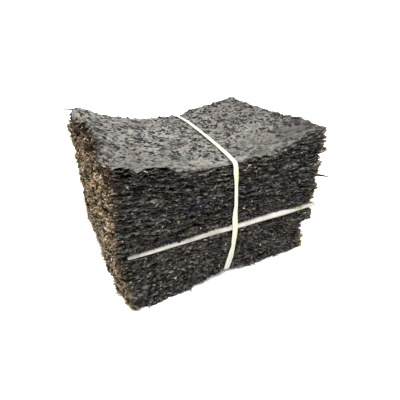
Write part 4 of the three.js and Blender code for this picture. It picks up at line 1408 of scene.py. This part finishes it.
def tied_band():
    """The tape: a cupped strip with fine ribs, swept round the block, drawn narrower in places, as (points,
    faces, tints)."""
    rng = np.random.default_rng(SEEDS["band_tape"])
    loop = np.vstack([band_middles, band_middles[:1]])
    along = np.r_[0, np.cumsum(np.linalg.norm(np.diff(loop, axis=0), axis=1))]
    spots = np.linspace(0, along[-1], BAND_STATIONS, endpoint=False)
    frames = []
    for run in (band_middles, band_out, band_across):
        closed = np.vstack([run, run[:1]])
        even = np.column_stack([np.interp(spots, along, closed[:, axis]) for axis in range(3)])
        for _ in range(BAND_ROUNDING):
            even = (np.roll(even, 1, axis=0) + 2 * even + np.roll(even, -1, axis=0)) / 4
        frames.append(even)
    middle, out, across = frames[0], unit(frames[1]), unit(frames[2])
    level = middle[:, 2] / MM
    height, share, shift, yellow = np.array(BAND_FRONT).T
    on_front, on_top = smoothstep(*FACING, -out[:, 1]), smoothstep(*FACING, out[:, 2])
    width = 1 + TAPE_FORM["uneven"] * rim_noise(rng, 1, BAND_STATIONS, STRIP_STEP, "band_width")[0]
    width = width + on_front * (np.interp(level, height, share) - 1)
    middle[:, 0] += on_front * np.interp(level, height, shift) * MM
    w = np.linspace(-1, 1, BAND_ACROSS)
    ribs = TAPE_FORM["rib"] * np.cos(w * math.pi * TAPE_FORM["ribs"])
    crown = (TAPE_FORM["rise"] + TAPE_FORM["crown"] * (1 - w ** 2) + ribs) * MM
    side = across[:, None] * (w[None] * BAND_WIDTH / 2 * width[:, None])[..., None]
    low = on_front * (1 - smoothstep(BAND_CREASE["from"], BAND_CREASE["to"], level))
    crease = low[:, None] * np.exp(-(((w - BAND_CREASE["place"]) / BAND_CREASE["half"]) ** 2))[None]
    upper = crown[None] - BAND_CREASE["deep"] * MM * crease
    lower = crown - TAPE_FORM["thick"] * MM * (1 - TAPE_FORM["edges_lack"] * w ** 8)
    outer = middle[:, None] + side + out[:, None] * upper[..., None]
    inner = middle[:, None] + side + out[:, None] * lower[None, :, None]
    ring = np.concatenate([outer, inner[:, ::-1]], axis=1)
    count = ring.shape[1]
    number = np.arange(BAND_STATIONS * count).reshape(BAND_STATIONS, count)
    onward = np.roll(number, -1, axis=0)
    a, b = number.ravel(), np.roll(number, -1, axis=1).ravel()
    d, c = onward.ravel(), np.roll(onward, -1, axis=1).ravel()
    faces = np.vstack([np.column_stack([a, b, c]), np.column_stack([a, c, d])])
    edge = smoothstep(*BAND_TINT["edge"], np.abs(np.r_[w, w[::-1]]))
    patches = rim_noise(rng, 1, BAND_STATIONS, STRIP_STEP, "band_patches")[0]
    patchy = smoothstep(*BAND_TINT["patches"], patches)
    usual = BAND_TINT["yellow"]
    yellow = usual + on_front * (np.interp(level, height, yellow) - usual)
    tints = mixed(TAPE, TAPE_YELLOW, yellow)[:, None]
    # Painted light: the thin edges yellow green, as light showing through
    tints = mixed(tints, TAPE_EDGE, BAND_TINT["edge_share"] * (patchy * yellow)[:, None] * edge[None])
    # Painted shade in the crease
    least = BAND_CREASE["least"]
    creased = np.concatenate([crease, np.zeros_like(crease)], axis=1)
    creased = creased * (least + (1 - least) * patchy[:, None])
    tints = tints * (1 - BAND_CREASE["dark"] * creased)[..., None]
    # Painted shade: the tape darker where it faces up
    tints = tints.reshape(-1, 3) * np.repeat(1 - BAND_TINT["painted_shade_on_top"] * on_top, count)[:, None]
    return ring.reshape(-1, 3), faces, tints


# Floor, light and camera

def pale_floor():
    """A wide plain sheet of matte white board."""
    mesh = bpy.data.meshes.new("floor")
    corners = [(x * FLOOR_HALF, y * FLOOR_HALF, 0) for x, y in ((-1, -1), (1, -1), (1, 1), (-1, 1))]
    mesh.from_pydata(corners, [], [(0, 1, 2, 3)])
    floor = bpy.data.objects.new("floor", mesh)
    bpy.context.scene.collection.objects.link(floor)
    material, tree = new_material("matte_white_board")
    shader = add_node(tree, "BsdfPrincipled", {"Base Color": (*linear("#f2f2f2"), 1), "Roughness": 0.95})
    add_node(tree, "OutputMaterial", {"Surface": shader.outputs["BSDF"]})
    mesh.materials.append(material)


def soft_box(name, place, aim, size, power):
    """A large soft studio light that looks at a point."""
    lamp = bpy.data.lights.new(name, "AREA")
    lamp.shape = "SQUARE"
    lamp.size = size
    lamp.energy = power
    light = bpy.data.objects.new(name, lamp)
    light.location = place
    light.rotation_euler = (Vector(aim) - Vector(place)).to_track_quat("-Z", "Y").to_euler()
    bpy.context.scene.collection.objects.link(light)


def studio():
    world = bpy.data.worlds.new("studio")
    world.use_nodes = True
    sky = world.node_tree.nodes["Background"]
    sky.inputs["Color"].default_value = (1, 1, 1, 1)
    sky.inputs["Strength"].default_value = SKY_STRENGTH
    bpy.context.scene.world = world
    bpy.context.scene.view_settings.view_transform = "Standard"
    for name, settings in SOFT_BOXES.items():
        soft_box(name, *settings)


def photo_camera():
    lens = bpy.data.cameras.new("photo_camera")
    lens.lens = CAMERA_LENS
    lens.sensor_width = CAMERA_SENSOR
    lens.shift_x = CAMERA_SHIFT[0]
    lens.shift_y = CAMERA_SHIFT[1]
    camera = bpy.data.objects.new("photo_camera", lens)
    camera.location = CAMERA_PLACE
    camera.rotation_euler = (math.radians(90 - CAMERA_LOOKS_DOWN), 0, -math.radians(CAMERA_HEADING))
    bpy.context.scene.collection.objects.link(camera)
    bpy.context.scene.camera = camera


# The piles

WAYS_OUT = ways_out(SIDE_COUNTS, CORNER_ROUNDING)
rng = np.random.default_rng(SEEDS["piles"])
stand_out = ragged(rng, SHEETS, SIDE_COUNTS, RIM_STEP)
settle_all, curl_all = settling(rng)
lay_over_slip(rng)
rim_dark, rim_light, rim_olive = rim_shades(rng)
tufts = pile_noise(rng, "tufted")
# Between the tufts the ends are painted darker, as shade
shade_between_tufts = 1 - RUBBED["on_tufts"] * smoothstep(*RUBBED["tufts"], tufts)
lit = 1 - ends_share(SIDE_COUNTS, ENDS_BLEND)[None, :] * shade_between_tufts
rim_share = lit * (RUBBED["light"] + RUBBED["varies"] * pile_noise(rng, "rubbed"))
rim_tints = mixed(rim_dark, rim_light, rim_share)

rims = np.empty((SHEETS, RIM_POINTS, 3))
sheets = []
for row in range(SHEETS):
    sheet, rims[row] = nori_sheet(row)
    sheets.append(sheet)

rim_laver = laver(
    "pressed_laver_edges", spot_mm=1.4, spot_low=0.48, spot_high=1.57, fibre_mm=1.1, roughness=0.62,
)
face_laver = laver(
    "pressed_laver_face", spot_mm=1.3, spot_low=0.7, spot_high=1.3, fibre_mm=0.9, roughness=0.58,
)

for name, nodes in PILES:
    first = LAYERS.index(nodes[0]) * SHEETS_PER_LAYER
    make_piece(name, joined(sheets[first:first + len(nodes) * SHEETS_PER_LAYER]), rim_laver, nodes)

top_face = face_sheet(SEEDS["top_sheet"], layers[-1], TOP_GRID, True, top_notch, top_lift, top_crowding)
make_piece("top_sheet", top_face, face_laver, [UPPER_LAYERS[-1]], smooth=True)
under_top = joined(sheets[-SHEETS_PER_LAYER:-1])
make_piece("sheets_under_top", under_top, rim_laver, [UPPER_LAYERS[-1]])

bottom_face = face_sheet(
    SEEDS["bottom_sheet"], layers[0], UNDER_GRID, False, foot_notch, None,
    lambda u, v: PIT_CROWDING["underside"],
)
make_piece("bottom_sheet", bottom_face, face_laver, [LOWER_LAYERS[0]], smooth=True)
over_bottom = joined(sheets[1:SHEETS_PER_LAYER])
make_piece("sheets_over_bottom", over_bottom, rim_laver, [LOWER_LAYERS[0]])

for name, kind in (("edge_flakes", CUT_CRUMBS), ("end_shreds", TORN_SHREDS), ("end_fringe", TORN_FRINGE)):
    make_piece(name, crumbled_flakes(SEEDS[name], kind), rim_laver, [])
make_piece("end_wisps", end_wisps(), rim_laver, [])
make_piece("cream_flecks", cream_flecks(), rim_laver, [])
make_piece("slip_crumbs", slip_crumbs(), rim_laver, [])

make_piece("slip_paper", slip_sheet(), slip_paper(), ["slip_sheet"])
make_piece("band_tape", tied_band(), band_tape(), ["band"], smooth=True)

pale_floor()
studio()
photo_camera()
